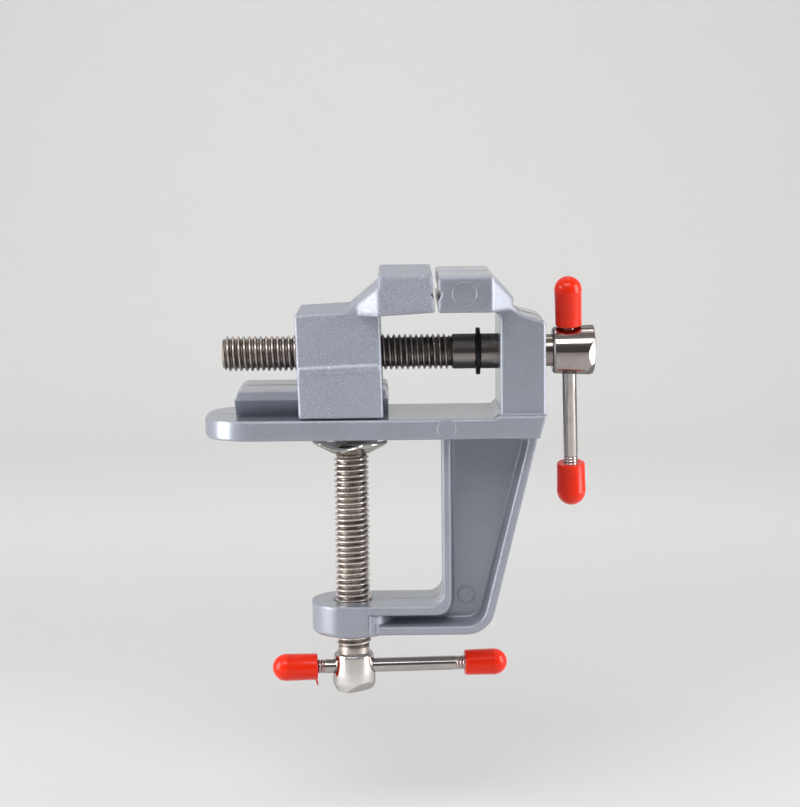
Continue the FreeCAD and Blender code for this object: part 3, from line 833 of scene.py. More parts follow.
def settle(piece: bpy.types.Object, body: str, finishes: list[bpy.types.Material],
           replaced: str | None = None) -> bpy.types.Object:
    """Dress a piece, let it ride on its body, hide the CAD node it stands for and log it.

    Args:
        piece: the piece.
        body: name of the CAD body.
        finishes: materials in the order of the finish numbers.
        replaced: name of the CAD node it stands for.

    Returns:
        The same piece.
    """
    for material in finishes:
        piece.data.materials.append(material)
    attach(piece, body)
    if replaced is not None:
        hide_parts(replaced)
    report(piece, body)
    return piece


@dataclass
class Casting:
    """The one frame casting, with the thin ridge where its mould halves met."""

    rail_left: float = -25.4
    rail_right: float = 8.5
    rail_top: float = 10.9
    rail_end_radius: float = 2.0
    bed_top: float = 4.5
    bed_left: float = -32.6
    bed_nose_radius: float = 1.2
    pillar_outer: float = 43.4
    pillar_foot: float = 42.0
    jaw_face: float = 19.7
    jaw_back: float = 31.4
    jaw_top: float = 36.2
    jaw_edge: float = 0.7
    gusset_foot: float = 37.6
    gusset_hollow: float = 2.2
    shoulder: float = 27.35
    shoulder_corner: float = 25.8
    shoulder_radius: float = 1.5
    arm_inner: float = 20.5
    arm_drop: float = 38.6
    arm_bottom: float = 45.2
    arm_foot: float = 30.76
    throat_radius: float = 3.2
    heel_radius: float = 6.5
    boss_reach: float = 9.2
    ridge_half_width: float = 0.16
    ridge_height: float = 0.11
    mark_half_width: float = 0.16
    mark_height: float = 0.10
    marks: tuple[tuple[float, float, float, float], ...] = (
        (25.4, -17.5, 32.2, 2.62),
        (21.35, -14.0, 2.25, 2.02),
        (25.8, -2.25, -37.3, 1.92),
    )
    posts: tuple[tuple[float, float, float, float, float], ...] = (
        (4.4, 0.65, -45.1, -40.7, 9.05),
        (5.5, 0.55, -44.7, -42.7, 8.95),
    )
    post_root: float = 6.0
    post_corner: float = 0.5
    ridge_steps: int = 16
    mark_steps: int = 72
    mark_section_steps: int = 12

    def section(self) -> np.ndarray:
        """Round section of the ridge: height times cosine, half width times sine of an angle."""
        angle = np.linspace(-math.pi, math.pi, self.ridge_steps + 1)
        out = self.ridge_height * np.cos(angle)
        return np.stack([out, self.ridge_half_width * np.sin(angle)], axis=1)

    def ridge_paths(self) -> list[np.ndarray]:
        """Courses of the ridge in the middle plane, each with the metal on its right.

        Returns:
            Arrays of (x, z).
        """
        bed = [
            (self.bed_left, self.bed_top / 3, 0),
            (self.bed_left, self.bed_top, self.bed_nose_radius),
            (self.rail_left, self.bed_top, 0),
            (self.rail_left, self.rail_top, self.rail_end_radius),
            (self.rail_right, self.rail_top, self.rail_end_radius / 2),
            (self.rail_right, self.bed_top, 0),
        ]
        back = [
            (self.jaw_face, self.jaw_top - self.jaw_edge, 0),
            (self.jaw_face, self.jaw_top, self.jaw_edge),
            (self.jaw_back, self.jaw_top, 0),
            (self.gusset_foot, self.shoulder, self.gusset_hollow),
            (self.pillar_outer, self.shoulder_corner, self.shoulder_radius),
            (self.pillar_outer, self.bed_top, 0),
            (self.pillar_foot, 0, 0),
            (self.arm_foot, -self.arm_bottom, self.heel_radius),
            (self.boss_reach, -self.arm_bottom, 0),
        ]
        throat = [
            (self.boss_reach, -self.arm_drop, 0),
            (self.arm_inner, -self.arm_drop, self.throat_radius),
            (self.arm_inner, 0, 0),
        ]
        return [rounded_path(corners, 8) for corners in (bed, back, throat)]

    def mark_skin(self, mark: tuple[float, float, float, float]) -> Skin:
        """Raised rim of an ejector pin's mark, on a face that looks towards minus Y.

        A point is the middle plus (radius + half width times cos s) along (cos a, sin a) in X
        and Z, and minus the height times sin s in Y.

        Args:
            mark: X, Y and Z of the middle, and the radius.

        Returns:
            A closed ring.
        """
        x, y, z, radius = mark
        around = np.linspace(0.0, 2 * math.pi, self.mark_steps + 1)[:, None]
        section = np.linspace(0.0, 2 * math.pi, self.mark_section_steps + 1)[None, :]
        reach = radius + self.mark_half_width * np.cos(section)
        across = x + reach * np.cos(around)
        out = np.broadcast_to(y - self.mark_height * np.sin(section), across.shape)
        return grid_skin(np.stack([across, out, z + reach * np.sin(around)], axis=-1))

    def post_skins(self) -> list[Skin]:
        """Upright shoulders where the boss meets the arm's lower rib, on the front and on the back.

        Returns:
            Two closed skins for each shoulder.
        """
        skins = []
        for x, half, low, high, reach in self.posts:
            corners = [
                (0.0, self.post_root, 0),
                (half, self.post_root, 0),
                (half, reach, self.post_corner),
                (-half, reach, self.post_corner),
                (-half, self.post_root, 0),
                (0.0, self.post_root, 0),
            ]
            path = np.array([(x, low), (x, high)])
            for side in (-1.0, 1.0):
                skins.append(swept_skin(path, rounded_path(corners) * np.array([1.0, side])))
        return skins

    def build(self) -> list[bpy.types.Object]:
        """Dress the casting, lay the ridge and the pin marks on it and set the boss's shoulders.

        Returns:
            The four pieces.
        """
        paint = CAST_GREY.build()
        trim = CAST_TRIM.build()
        casting = merged_copy("clamp_frame", "frame_casting")
        body = settle(casting, "frame", [paint], "clamp_frame")
        ridges = [swept_skin(path, self.section()) for path in self.ridge_paths()]
        marks = [self.mark_skin(mark) for mark in self.marks]
        extras = [
            make_piece("parting_ridge", ridges, Shading.SMOOTH),
            make_piece("pin_marks", marks, Shading.SMOOTH),
            make_piece("boss_shoulders", self.post_skins(), Shading.TURNED),
        ]
        return [body] + [settle(piece, "frame", [trim]) for piece in extras]


@dataclass
class MovingJaw:
    """The moving jaw, rougher than the frame and full of small bright flecks."""

    def build(self) -> list[bpy.types.Object]:
        """Dress the moving jaw.

        Returns:
            The one piece.
        """
        paint = CAST_FLECKED.build()
        casting = merged_copy("moving_jaw", "jaw_casting")
        return [settle(casting, "moving_jaw", [paint], "moving_jaw")]


@dataclass
class Thread:
    """A right-hand coarse thread about Z from start to end."""

    start: float
    end: float
    crest_radius: float = 4.0
    pitch: float = 1.25
    depth_share: float = 0.6134
    crest_share: float = 0.16
    root_share: float = 0.20
    end_chamfer: float = 0.9
    columns: int = 80
    flank_softness: float = 0.4
    cone_inset: float = 0.1
    end_dome: float = 0.08
    dome_steps: int = 4

    @property
    def root_radius(self) -> float:
        """Radius at the bottom of the valley."""
        return self.crest_radius - self.depth_share * self.pitch

    @property
    def flank_share(self) -> float:
        """Share of the pitch that one flank takes."""
        return (1 - self.crest_share - self.root_share) / 2

    def radius(self, along: np.ndarray, angle: np.ndarray) -> np.ndarray:
        """Radius of the thread at places along the screw and angles round it.

        The phase is along / pitch - angle / full turn, taken without its whole part. The
        radius is flat at the root, climbs in a line, is flat at the crest and falls again,
        and never passes a cone that chamfers each end.

        Args:
            along: places along the axis.
            angle: angles round the axis.

        Returns:
            The radius at each.
        """
        phase = np.mod(along / self.pitch - angle / (2 * math.pi), 1.0)
        from_crest = np.abs(phase - 0.5)
        fall = np.clip((from_crest - self.crest_share / 2) / self.flank_share, 0.0, 1.0)
        soft = fall * fall * (3 - 2 * fall)
        fall = (1 - self.flank_softness) * fall + self.flank_softness * soft
        radius = self.crest_radius - fall * (self.crest_radius - self.root_radius)
        from_end = np.clip(np.minimum(along - self.start, self.end - along), 0.0, None)
        climb = self.crest_radius - self.root_radius + self.cone_inset
        cone = self.root_radius - self.cone_inset + from_end * climb / self.end_chamfer
        return np.minimum(radius, cone)

    def grid(self) -> np.ndarray:
        """Points of the thread: rows follow the helix, so a row climbs one pitch a turn.

        Returns:
            Rows by columns by three, with every row clipped to the thread's two ends.
        """
        angle = np.linspace(0.0, 2 * math.pi, self.columns + 1)
        foot = self.root_share / 2
        top = foot + self.flank_share
        marks = np.concatenate([
            np.linspace(0, foot, 2)[:-1],
            np.linspace(foot, top, 5)[:-1],
            np.linspace(top, top + self.crest_share, 3)[:-1],
            np.linspace(1 - foot - self.flank_share, 1 - foot, 5),
        ])
        turns = np.arange(math.floor(self.start / self.pitch) - 1,
                          math.ceil(self.end / self.pitch) + 1)
        rows = (turns[:, None] + marks[None, :]).reshape(-1) * self.pitch
        along = rows[:, None] + self.pitch * angle[None, :] / (2 * math.pi)
        along = np.clip(along, self.start, self.end)
        radius = self.radius(along, np.broadcast_to(angle, along.shape))
        return np.stack([radius * np.cos(angle), radius * np.sin(angle), along], axis=-1)

    def skin(self) -> Skin:
        """The thread closed at both ends by slightly domed faces.

        Returns:
            A closed skin about Z.
        """
        grid = self.grid()
        share = np.linspace(0.0, 1.0, self.dome_steps + 1)[:, None, None]
        caps = []
        for row, outward in ((grid[:1], -1.0), (grid[-1:], 1.0)):
            cap = np.broadcast_to(row, (self.dome_steps + 1,) + row.shape[1:]).copy()
            cap[..., :2] *= share
            cap[..., 2:] += outward * self.end_dome * (1 - share ** 2)
            caps.append(cap if outward < 0 else cap[::-1])
        return grid_skin(np.concatenate([caps[0], grid, caps[1]]))


@dataclass
class DrilledHead:
    """A turned head about Z with slanted facets and a cross hole for the bar.

    turned_limits holds (out, up, reach): out times the distance from Z plus up times Z may not
    pass reach. facets holds (direction, reach) for flat cuts.
    """

    turned_limits: list[tuple[float, float, float]]
    facets: list[tuple[np.ndarray, float]]
    hole_centre: np.ndarray
    hole_way: np.ndarray
    hole_radius: float = 1.9
    sharpness: float = 120.0
    rows: int = 180
    columns: int = 240
    cutter_half: float = 12.0

    def skin(self) -> Skin:
        """Skin seen from the middle of the head.

        In each direction the distance to every limit is reach / (limit dot direction), and
        the skin lies at the smooth minimum, (sum of distance ** -n) ** (-1 / n).

        Returns:
            A closed skin about the origin.
        """
        tilt = np.linspace(0.0, math.pi, self.rows + 1)[:, None]
        angle = np.linspace(0.0, 2 * math.pi, self.columns + 1)[None, :]
        out = np.sin(tilt) * np.ones_like(angle)
        up = np.cos(tilt) * np.ones_like(angle)
        ways = np.stack([out * np.cos(angle), out * np.sin(angle), up], axis=-1)
        total = np.zeros_like(out)
        for share_out, share_up, reach in self.turned_limits:
            total += np.clip((share_out * out + share_up * up) / reach, 0.0, None) ** self.sharpness
        for direction, reach in self.facets:
            total += np.clip(ways @ direction / reach, 0.0, None) ** self.sharpness
        distance = total ** (-1 / self.sharpness)
        return grid_skin(ways * distance[..., None])

    def build(self, name: str, matrix: np.ndarray, centre: np.ndarray) -> bpy.types.Object:
        """The head turned into place, with its cross hole cut.

        Args:
            name: name of the piece.
            matrix: rotation that turns Z to the screw's axis.
            centre: middle of the head, in millimetres.

        Returns:
            The linked object.
        """
        head = make_piece(name, [self.skin().placed(matrix, centre)], Shading.TURNED)
        drill = np.array([(-self.cutter_half, 0.0), (-self.cutter_half, self.hole_radius),
                          (self.cutter_half, self.hole_radius), (self.cutter_half, 0.0)])
        hole = turned_skin(drill, 64).placed(basis_along(self.hole_way), self.hole_centre)
        cutter = make_piece(name + "_cutter", [hole], Shading.TURNED)
        cut = head.modifiers.new("cross_hole", "BOOLEAN")
        cut.operation = "DIFFERENCE"
        cut.solver = "EXACT"
        cut.object = cutter
        bpy.context.view_layer.update()
        graph = bpy.context.evaluated_depsgraph_get()
        mesh = bpy.data.meshes.new_from_object(head.evaluated_get(graph))
        bpy.data.objects.remove(cutter)
        bpy.data.objects.remove(head)
        mesh.name = name
        return finish_piece(name, mesh, Shading.TURNED)


def joined(name: str, pieces: list[bpy.types.Object]) -> bpy.types.Object:
    """One object from several, with a material slot for each.

    Args:
        name: name of the new object.
        pieces: the objects, which are removed.

    Returns:
        The linked object; the faces of piece number n use slot n.
    """
    points = []
    faces = []
    slots = []
    offset = 0
    for number, piece in enumerate(pieces):
        mesh = piece.data
        place = np.empty(len(mesh.vertices) * 3)
        mesh.vertices.foreach_get("co", place)
        points.append(place.reshape(-1, 3))
        faces += [[vertex + offset for vertex in polygon.vertices] for polygon in mesh.polygons]
        slots += [number] * len(mesh.polygons)
        offset += len(mesh.vertices)
        bpy.data.objects.remove(piece)
    mesh = bpy.data.meshes.new(name)
    mesh.from_pydata(np.concatenate(points).tolist(), [], faces)
    mesh.polygons.foreach_set("material_index", slots)
    return finish_piece(name, mesh, Shading.TURNED)


@dataclass
class MainScrew:
    """Main screw: helical thread, plain shank with the ring groove, neck and drilled head."""

    axis_height: float = 18.1
    thread_start: float = -28.5
    thread_end: float = 22.9
    shank_radius: float = 3.95
    neck_radius: float = 3.6
    neck_length: float = 2.2
    ring_centre: float = 28.85
    ring_groove_half: float = 0.55
    ring_groove_radius: float = 3.2
    head_start: float = 45.6
    head_length: float = 9.7
    head_neck_side_radius: float = 5.25
    head_radius: float = 5.65
    hole_inset: float = 3.8
    bar_tilt: float = 10.0
    bar_lean: float = 1.7
    facet_angles: tuple[float, ...] = (-172.0, -118.0, 20.0)
    facet_slope: float = 52.0
    facet_reach: float = 4.65
    facet_inset: float = 0.7
    neck_side_chamfer: float = 0.4
    rim_chamfer: float = 0.55
    dome_limit: tuple[float, float] = (0.12, 0.993)
    dome_share: float = 0.42
    groove_edge: float = 0.125
    shank_edge: float = 0.25
    shank_rise: float = 0.3
    neck_rise: float = 0.35
    core_radius: float = 3.0
    overlap: float = 0.4
    head_overlap: float = 1.0
    shank_roughness: float = 0.16
    cap_gap: float = 0.4

    @property
    def way(self) -> np.ndarray:
        """Direction of the bar's hole."""
        tilt = math.radians(self.bar_tilt)
        lean = math.radians(self.bar_lean)
        upright = np.array([0.0, -math.sin(tilt), math.cos(tilt)])
        return upright * math.cos(lean) - AXIS_X * math.sin(lean)

    @property
    def hole_centre(self) -> np.ndarray:
        """Middle of the bar's hole."""
        return np.array([self.head_start + self.hole_inset, 0.0, self.axis_height])

    def shank_profile(self) -> np.ndarray:
        """Turned profile of the shank, the ring groove and the neck, as (along, radius)."""
        left = self.ring_centre - self.ring_groove_half
        right = self.ring_centre + self.ring_groove_half
        neck = self.head_start - self.neck_length
        inside = self.head_start + self.head_overlap
        return rounded_path([
            (self.thread_end - self.overlap, 0.0, 0),
            (self.thread_end - self.overlap, self.core_radius, 0),
            (self.thread_end + self.shank_rise, self.shank_radius, self.shank_edge),
            (left, self.shank_radius, self.groove_edge),
            (left, self.ring_groove_radius, 0),
            (right, self.ring_groove_radius, 0),
            (right, self.shank_radius, self.groove_edge),
            (neck - self.neck_rise, self.shank_radius, self.shank_edge),
            (neck, self.neck_radius, self.shank_edge),
            (inside, self.neck_radius, 0),
            (inside, 0.0, 0),
        ])

    def head(self) -> DrilledHead:
        """The head: a short cylinder, a domed end and three slanted facets on its rim."""
        half = self.head_length / 2
        slope = math.radians(self.facet_slope)
        facets = []
        for angle in self.facet_angles:
            turn = math.radians(angle)
            outward = np.array([0.0, math.cos(turn), math.sin(turn)])
            normal = AXIS_X * math.cos(slope) + outward * math.sin(slope)
            rim = AXIS_X * (half - self.facet_inset) + outward * self.facet_reach
            facets.append((basis_along(AXIS_X).T @ normal, float(normal @ rim)))
        edge = math.sqrt(0.5)
        taper = math.atan2(self.head_radius - self.head_neck_side_radius, self.head_length)
        lean_reach = math.cos(taper) * (self.head_radius + self.head_neck_side_radius) / 2
        out, up = self.dome_limit
        neck_side = self.head_neck_side_radius + half - self.neck_side_chamfer
        return DrilledHead(
            turned_limits=[
                (math.cos(taper), -math.sin(taper), lean_reach),
                (0.0, -1.0, half),
                (0.0, 1.0, half),
                (edge, -edge, edge * neck_side),
                (out, up, up * half + out * self.head_radius * self.dome_share),
                (edge, edge, edge * (self.head_radius + half - self.rim_chamfer)),
            ],
            facets=facets,
            hole_centre=self.hole_centre,
            hole_way=self.way,
        )

    def build(self) -> list[bpy.types.Object]:
        """Build the screw as one piece with three finishes.

        Returns:
            The one piece.
        """
        along_x = basis_along(AXIS_X)
        base = np.array([0.0, 0.0, self.axis_height])
        thread = Thread(self.thread_start, self.thread_end)
        shaft, shank = (
            make_piece(name, [skin.placed(along_x, base)], Shading.TURNED)
            for name, skin in (
                ("main_screw_shaft", thread.skin()),
                ("main_screw_shank", turned_skin(self.shank_profile())),
            )
        )
        middle = base + AXIS_X * (self.head_start + self.head_length / 2)
        head = self.head().build("main_screw_head", along_x, middle)
        steel = ThreadSteel("main_thread_steel", STEEL_COLOUR, VALLEY_SHADE_AND_DIRT_COLOUR, AXIS_X, base,
                            thread.root_radius, thread.crest_radius).build()
        # The shank's darker plating is painted shade, for where it sits enclosed by the casting.
        shaded_shank_plate = BrightPlate("main_shank_plate", SHADED_SHANK_COLOUR, AXIS_X, self.shank_roughness).build()
        plate = BrightPlate("main_head_plate", PLATE_COLOUR, AXIS_X).build()
        screw = joined("main_screw_turned", [shaft, shank, head])
        return [settle(screw, "main_screw", [steel, shaded_shank_plate, plate], "main_screw")]


@dataclass
class RetainingRing:
    """Black ring in the groove of the main screw, which keeps its CAD shape."""

    def build(self) -> list[bpy.types.Object]:
        """Dress the ring.

        Returns:
            The one piece.
        """
        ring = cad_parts["retaining_ring"]
        ring.data.materials.clear()
        ring.data.materials.append(BlackSpring("black_ring").build())
        report(ring, "retaining_ring")
        return [ring]


@dataclass
class Cap:
    """Push-on cap about Z, with its mouth at zero and its round end ahead."""

    length: float
    radius: float
    bore: float = 1.62
    lip: float = 0.35
    skirt: float = 0.0
    seam_width: float = 0.28
    seam_height: float = 0.06
    waist: float = 0.10
    tail: float = 0.0
    tail: float = 0.0
    tail_radius: float = 0.28
    tail_lean: float = 0.25
    tail_taper: float = 0.55
    tail_overlap: float = 0.3
    plug: float = 3.0

    def skin(self) -> Skin:
        """Turned skin: bore, soft lip, a sleeve slightly fuller ahead, a seam ring and a round end.

        The round end is radius times the cosine and sine of an angle from 0 to a right angle.

        Returns:
            A closed skin with its mouth at minus the skirt.
        """
        dome = self.length - self.radius
        sleeve = [
            (self.length - self.plug, 0.0, 0),
            (self.length - self.plug, self.bore, 0),
            (-self.skirt, self.bore, 0.12),
            (-self.skirt, self.radius - self.waist, self.lip),
            (dome - self.seam_width, self.radius, 0),
            (dome - self.seam_width / 2, self.radius + self.seam_height, self.seam_height),
            (dome, self.radius, 0),
        ]
        angle = np.linspace(0.0, math.pi / 2, 20)[1:]
        end = np.stack([dome + self.radius * np.sin(angle), self.radius * np.cos(angle)], axis=1)
        return turned_skin(np.concatenate([rounded_path(sleeve), end]), 72)

    def tail_skin(self) -> Skin:
        """Plastic left by the mould: a cone with a round tip, from its root at zero along Z."""
        profile = rounded_path([
            (-self.tail_overlap, 0.0, 0),
            (-self.tail_overlap, self.tail_radius, 0),
            (self.tail, self.tail_radius * self.tail_taper, 0.12),
            (self.tail, 0.0, 0),
        ])
        return turned_skin(profile, 24)


@dataclass
class Bar:
    """Handle bar about Z with grip rings where the caps end."""

    length: float = 48.0
    radius: float = 1.6
    chamfer: float = 0.3
    rings: int = 3
    ring_inset: float = 7.0
    ring_pitch: float = 0.7
    ring_depth: float = 0.18
    ring_steps: int = 12
    ring_sharpness: float = 1.5

    def skin(self) -> Skin:
        """Turned skin, whose radius dips over each grip ring.

        The dip is the ring depth times a power of half of one minus a cosine.

        Returns:
            A closed skin about its own middle.
        """
        half = self.length / 2
        inner = half - self.ring_inset - self.rings * self.ring_pitch
        outer = half - self.ring_inset
        rings = np.linspace(inner, outer, self.rings * self.ring_steps + 1)
        dip = (1 - np.cos((rings - inner) / self.ring_pitch * 2 * math.pi)) / 2
        side = np.stack([rings, self.radius - self.ring_depth * dip ** self.ring_sharpness], axis=1)
        edge = half - self.chamfer
        end = np.array([(edge, self.radius), (half, self.radius - self.chamfer), (half, 0.0)])
        ahead = np.concatenate([side, end])
        behind = ahead[::-1] * np.array([-1.0, 1.0])
        return turned_skin(np.concatenate([behind, ahead]), 64)


@dataclass
class Handle:
    """Bar with two caps, pushed through a screw's head."""

    name: str
    body: str
    centre: np.ndarray
    way: np.ndarray
    shift: float
    caps: dict[str, tuple[Side, Cap]]
    bar: Bar = field(default_factory=Bar)
    end_wall: float = 3.0
    bar_roughness: float = 0.1

    def build(self) -> list[bpy.types.Object]:
        """Build the bar and its caps in place.

        Returns:
            The three pieces.
        """
        way = unit(self.way)
        turn = basis_along(self.way)
        middle = self.centre + way * self.shift
        plate = BrightPlate(self.name + "_bar_plate", BAR_COLOUR, way, self.bar_roughness).build()
        rod = make_piece(self.name + "_rod", [self.bar.skin().placed(turn, middle)], Shading.TURNED)
        pieces = [settle(rod, self.body, [plate], self.name + "_bar")]
        red = SoftPlastic(self.name + "_cap_red", CAP_COLOUR, way).build()
        for place, (side, cap) in self.caps.items():
            mouth = self.bar.length / 2 + self.end_wall - cap.length
            flip = turn @ np.diag([1.0, float(side.value), float(side.value)])
            start = middle + way * mouth * side.value
            skins = [cap.skin().placed(flip, start)]
            if cap.tail > 0:
                down = AXIS_Z * (cap.radius - cap.waist - cap.tail_radius)
                root = start - down - AXIS_X * cap.tail_radius * 1.5
                hanging = basis_along(AXIS_X * cap.tail_lean - AXIS_Z)
                skins.append(cap.tail_skin().placed(hanging, root))
            end = make_piece(self.name + "_end_" + place, skins, Shading.TURNED)
            pieces.append(settle(end, self.body, [red], self.name + "_cap_" + place))
        return pieces


@dataclass
class ClampScrew:
    """Table clamp screw: peened tip, helical thread, neck and drilled head, under the pad."""

    shoulder: float = -4.85
    thread_end: float = -49.55
    tip_radius: float = 2.5
    nub_radius: float = 3.3
    nub_bottom: float = -3.75
    nub_height: float = 0.9
    neck_radius: float = 3.6
    neck_length: float = 1.3
    head_length: float = 9.3
    head_top_radius: float = 4.45
    head_radius: float = 4.85
    swell_share: float = 0.55
    hole_drop: float = 3.4
    bar_yaw: float = 4.0
    facet_turn: float = 36.0
    facet_slope: float = 50.0
    facet_height: float = 2.8
    top_chamfer: float = 0.5
    low_chamfer: float = 1.3
    low_round: float = 2.1
    low_round_limit: tuple[float, float] = (0.924, 0.383)
    nub_top_share: float = 0.75
    nub_side_share: float = 0.45
    core_radius: float = 3.1
    overlap: float = 0.8
    tip_overlap: float = 0.6
    head_overlap: float = 1.0
    bar_shift: float = 8.3

    @property
    def head_top(self) -> float:
        """Height of the head's upper face."""
        return self.thread_end - self.neck_length

    @property
    def hole_centre(self) -> np.ndarray:
        """Middle of the bar's hole."""
        return np.array([0.0, 0.0, self.head_top - self.hole_drop])

    @property
    def way(self) -> np.ndarray:
        """Direction of the bar's hole."""
        yaw = math.radians(self.bar_yaw)
        return np.array([math.cos(yaw), math.sin(yaw), 0.0])

    def tip_profile(self) -> np.ndarray:
        """Turned profile of the peened tip above the thread, as (along, radius)."""
        top = self.nub_bottom + self.nub_height
        inside = self.shoulder - self.tip_overlap
        return rounded_path([
            (top, 0.0, 0),
            (top, self.nub_radius * self.nub_top_share, 0.3),
            (self.nub_bottom + self.nub_height * self.nub_side_share, self.nub_radius, 0.2),
            (self.nub_bottom, self.nub_radius, 0.1),
            (self.nub_bottom, self.tip_radius, 0),
            (inside, self.tip_radius, 0),
            (inside, 0.0, 0),
        ])

    def neck_profile(self) -> np.ndarray:
        """Turned profile of the neck down into the head, as (along, radius)."""
        return rounded_path([
            (self.thread_end + self.overlap, 0.0, 0),
            (self.thread_end + self.overlap, self.core_radius, 0),
            (self.thread_end, self.neck_radius, 0.3),
            (self.head_top - self.head_overlap, self.neck_radius, 0),
            (self.head_top - self.head_overlap, 0.0, 0),
        ])

    def head(self) -> DrilledHead:
        """The head: wider below, with a round lower rim and one flat cut low on the front right."""
        half = self.head_length / 2
        swell = half - self.head_length * self.swell_share
        lean = math.atan2(self.head_radius - self.head_top_radius, half - swell)
        turn = math.radians(self.facet_turn)
        slope = math.radians(self.facet_slope)
        outward = np.array([math.sin(turn), -math.cos(turn), 0.0])
        normal = outward * math.cos(slope) - AXIS_Z * math.sin(slope)
        rim = outward * self.head_radius + AXIS_Z * (self.facet_height - half)
        edge = math.sqrt(0.5)
        steep, level = self.low_round_limit
        low = half - self.low_round
        return DrilledHead(
            turned_limits=[
                (1.0, 0.0, self.head_radius),
                (math.cos(lean), math.sin(lean),
                 math.cos(lean) * self.head_top_radius + math.sin(lean) * half),
                (0.0, 1.0, half),
                (0.0, -1.0, half),
                (edge, edge, edge * (self.head_top_radius + half - self.top_chamfer)),
                (edge, -edge, edge * (self.head_radius + half - self.low_chamfer)),
                (steep, -level, steep * self.head_radius + level * low),
                (level, -steep, level * (self.head_radius - self.low_round) + steep * half),
            ],
            facets=[(normal, float(normal @ rim))],
            hole_centre=self.hole_centre,
            hole_way=self.way,
        )

    def build(self) -> list[bpy.types.Object]:
        """Build the screw as one piece with two finishes.

        Returns:
            The one piece.
        """
        thread = Thread(self.thread_end, self.shoulder)
        profiles = (self.tip_profile(), self.neck_profile())
        skins = [thread.skin()] + [turned_skin(profile) for profile in profiles]
        shaft = make_piece("clamp_screw_shaft", skins, Shading.TURNED)
        middle = AXIS_Z * (self.head_top - self.head_length / 2)
        head = self.head().build("clamp_screw_head", np.eye(3), middle)
        # Painted light: this steel and plating are lighter copies of the main screw's, so the clamp
        # screw looks more brightly lit.
        steel = ThreadSteel("clamp_thread_steel", LIT_LOWER_STEEL_COLOUR, VALLEY_SHADE_AND_DIRT_COLOUR, AXIS_Z,
                            np.zeros(3), thread.root_radius, thread.crest_radius).build()
        plate = BrightPlate("clamp_head_plate", LIT_LOWER_PLATE_COLOUR, AXIS_Z).build()
        screw = joined("clamp_screw_turned", [shaft, head])
        return [settle(screw, "clamp_screw", [steel, plate], "clamp_screw")]


@dataclass
class ClampPad:
    """Stamped round pad: a shallow bowl with three wide notches in its rim."""

    top: float = -1.5
    bottom: float = -4.7
    metal: float = 0.8
    hole_radius: float = 2.8
    floor_radius: float = 4.3
    rim_radius: float = 8.8
    rim_inset: float = 0.9
    rim_drop: float = 0.66
    shoulder_drop: float = 1.3
    shoulder_bend: float = 0.9
    floor_bend: float = 1.2
    floor_reach: float = 0.8
    petals: int = 3
    notch_turn: float = -16.0
    notch_half_angle: float = 34.0
    notch_share: float = 0.62
    notch_power: float = 0.8
    edge_swell: float = 0.3
    rows: int = 40
    columns: int = 240
    edge_steps: int = 6
    line_steps: int = 10

    def build(self) -> list[bpy.types.Object]:
        """Build the pad as an outer and an inner skin joined round the hole and the rim.

        Across the wall the line runs from the hole over a flat floor and then out and up to
        the rim. Near a notch the line stops short, by the notch share times a power of a
        cosine of the angle from the notch's middle. The inner skin is the outer one moved
        inwards by the metal.

        Returns:
            The one piece.
        """
        line = rounded_path([
            (self.hole_radius, self.bottom, 0),
            (self.floor_radius, self.bottom, self.floor_bend),
            (self.rim_radius - self.rim_inset, self.top - self.shoulder_drop, self.shoulder_bend),
            (self.rim_radius, self.top - self.rim_drop, 0),
        ], self.line_steps)
        run = np.concatenate([[0.0], np.cumsum(np.linalg.norm(np.diff(line, axis=0), axis=1))])
        total = run[-1]
        angle = np.linspace(0.0, 2 * math.pi, self.columns + 1)
        period = 2 * math.pi / self.petals
        middle = math.radians(self.notch_turn) - math.pi / 2
        from_notch = np.mod(angle - middle + period / 2, period) - period / 2
        half = math.radians(self.notch_half_angle)
        bell = np.where(np.abs(from_notch) < half, np.cos(from_notch / half * math.pi / 2), 0.0)
        floor_run = self.floor_radius - self.hole_radius + self.floor_reach
        reach = total - (total - floor_run) * self.notch_share * bell ** self.notch_power
        share = np.linspace(0.0, 1.0, self.rows + 1)
        place = share[:, None] * reach[None, :]
        radius = np.interp(place, run, line[:, 0])
        height = np.interp(place, run, line[:, 1])
        slope = np.arctan2(np.gradient(height, axis=0), np.gradient(radius, axis=0))
        inner_radius = radius - self.metal * np.sin(slope)
        inner_height = height + self.metal * np.cos(slope)
        bend = np.linspace(0.0, math.pi, self.edge_steps + 1)[1:-1, None]
        mid_radius = (radius[-1] + inner_radius[-1]) / 2
        mid_height = (height[-1] + inner_height[-1]) / 2
        out_radius = (radius[-1] - inner_radius[-1]) / 2
        out_height = (height[-1] - inner_height[-1]) / 2
        swell = np.sin(bend) * self.metal * self.edge_swell
        edge_radius = mid_radius + out_radius * np.cos(bend) + swell * np.cos(slope[-1])
        edge_height = mid_height + out_height * np.cos(bend) + swell * np.sin(slope[-1])
        all_radius = np.concatenate([radius, edge_radius, inner_radius[::-1], radius[:1]])
        all_height = np.concatenate([height, edge_height, inner_height[::-1], height[:1]])
        across, away = all_radius * np.cos(angle), all_radius * np.sin(angle)
        skin = grid_skin(np.stack([across, away, all_height], axis=-1))
        pad = make_piece("clamp_pad_stamping", [skin], Shading.TURNED)
        plate = BrightPlate("pad_plate", PAD_COLOUR, AXIS_Z, 0.1, 0.002, 0.1).build()
        return [settle(pad, "clamp_pad", [plate], "clamp_pad")]


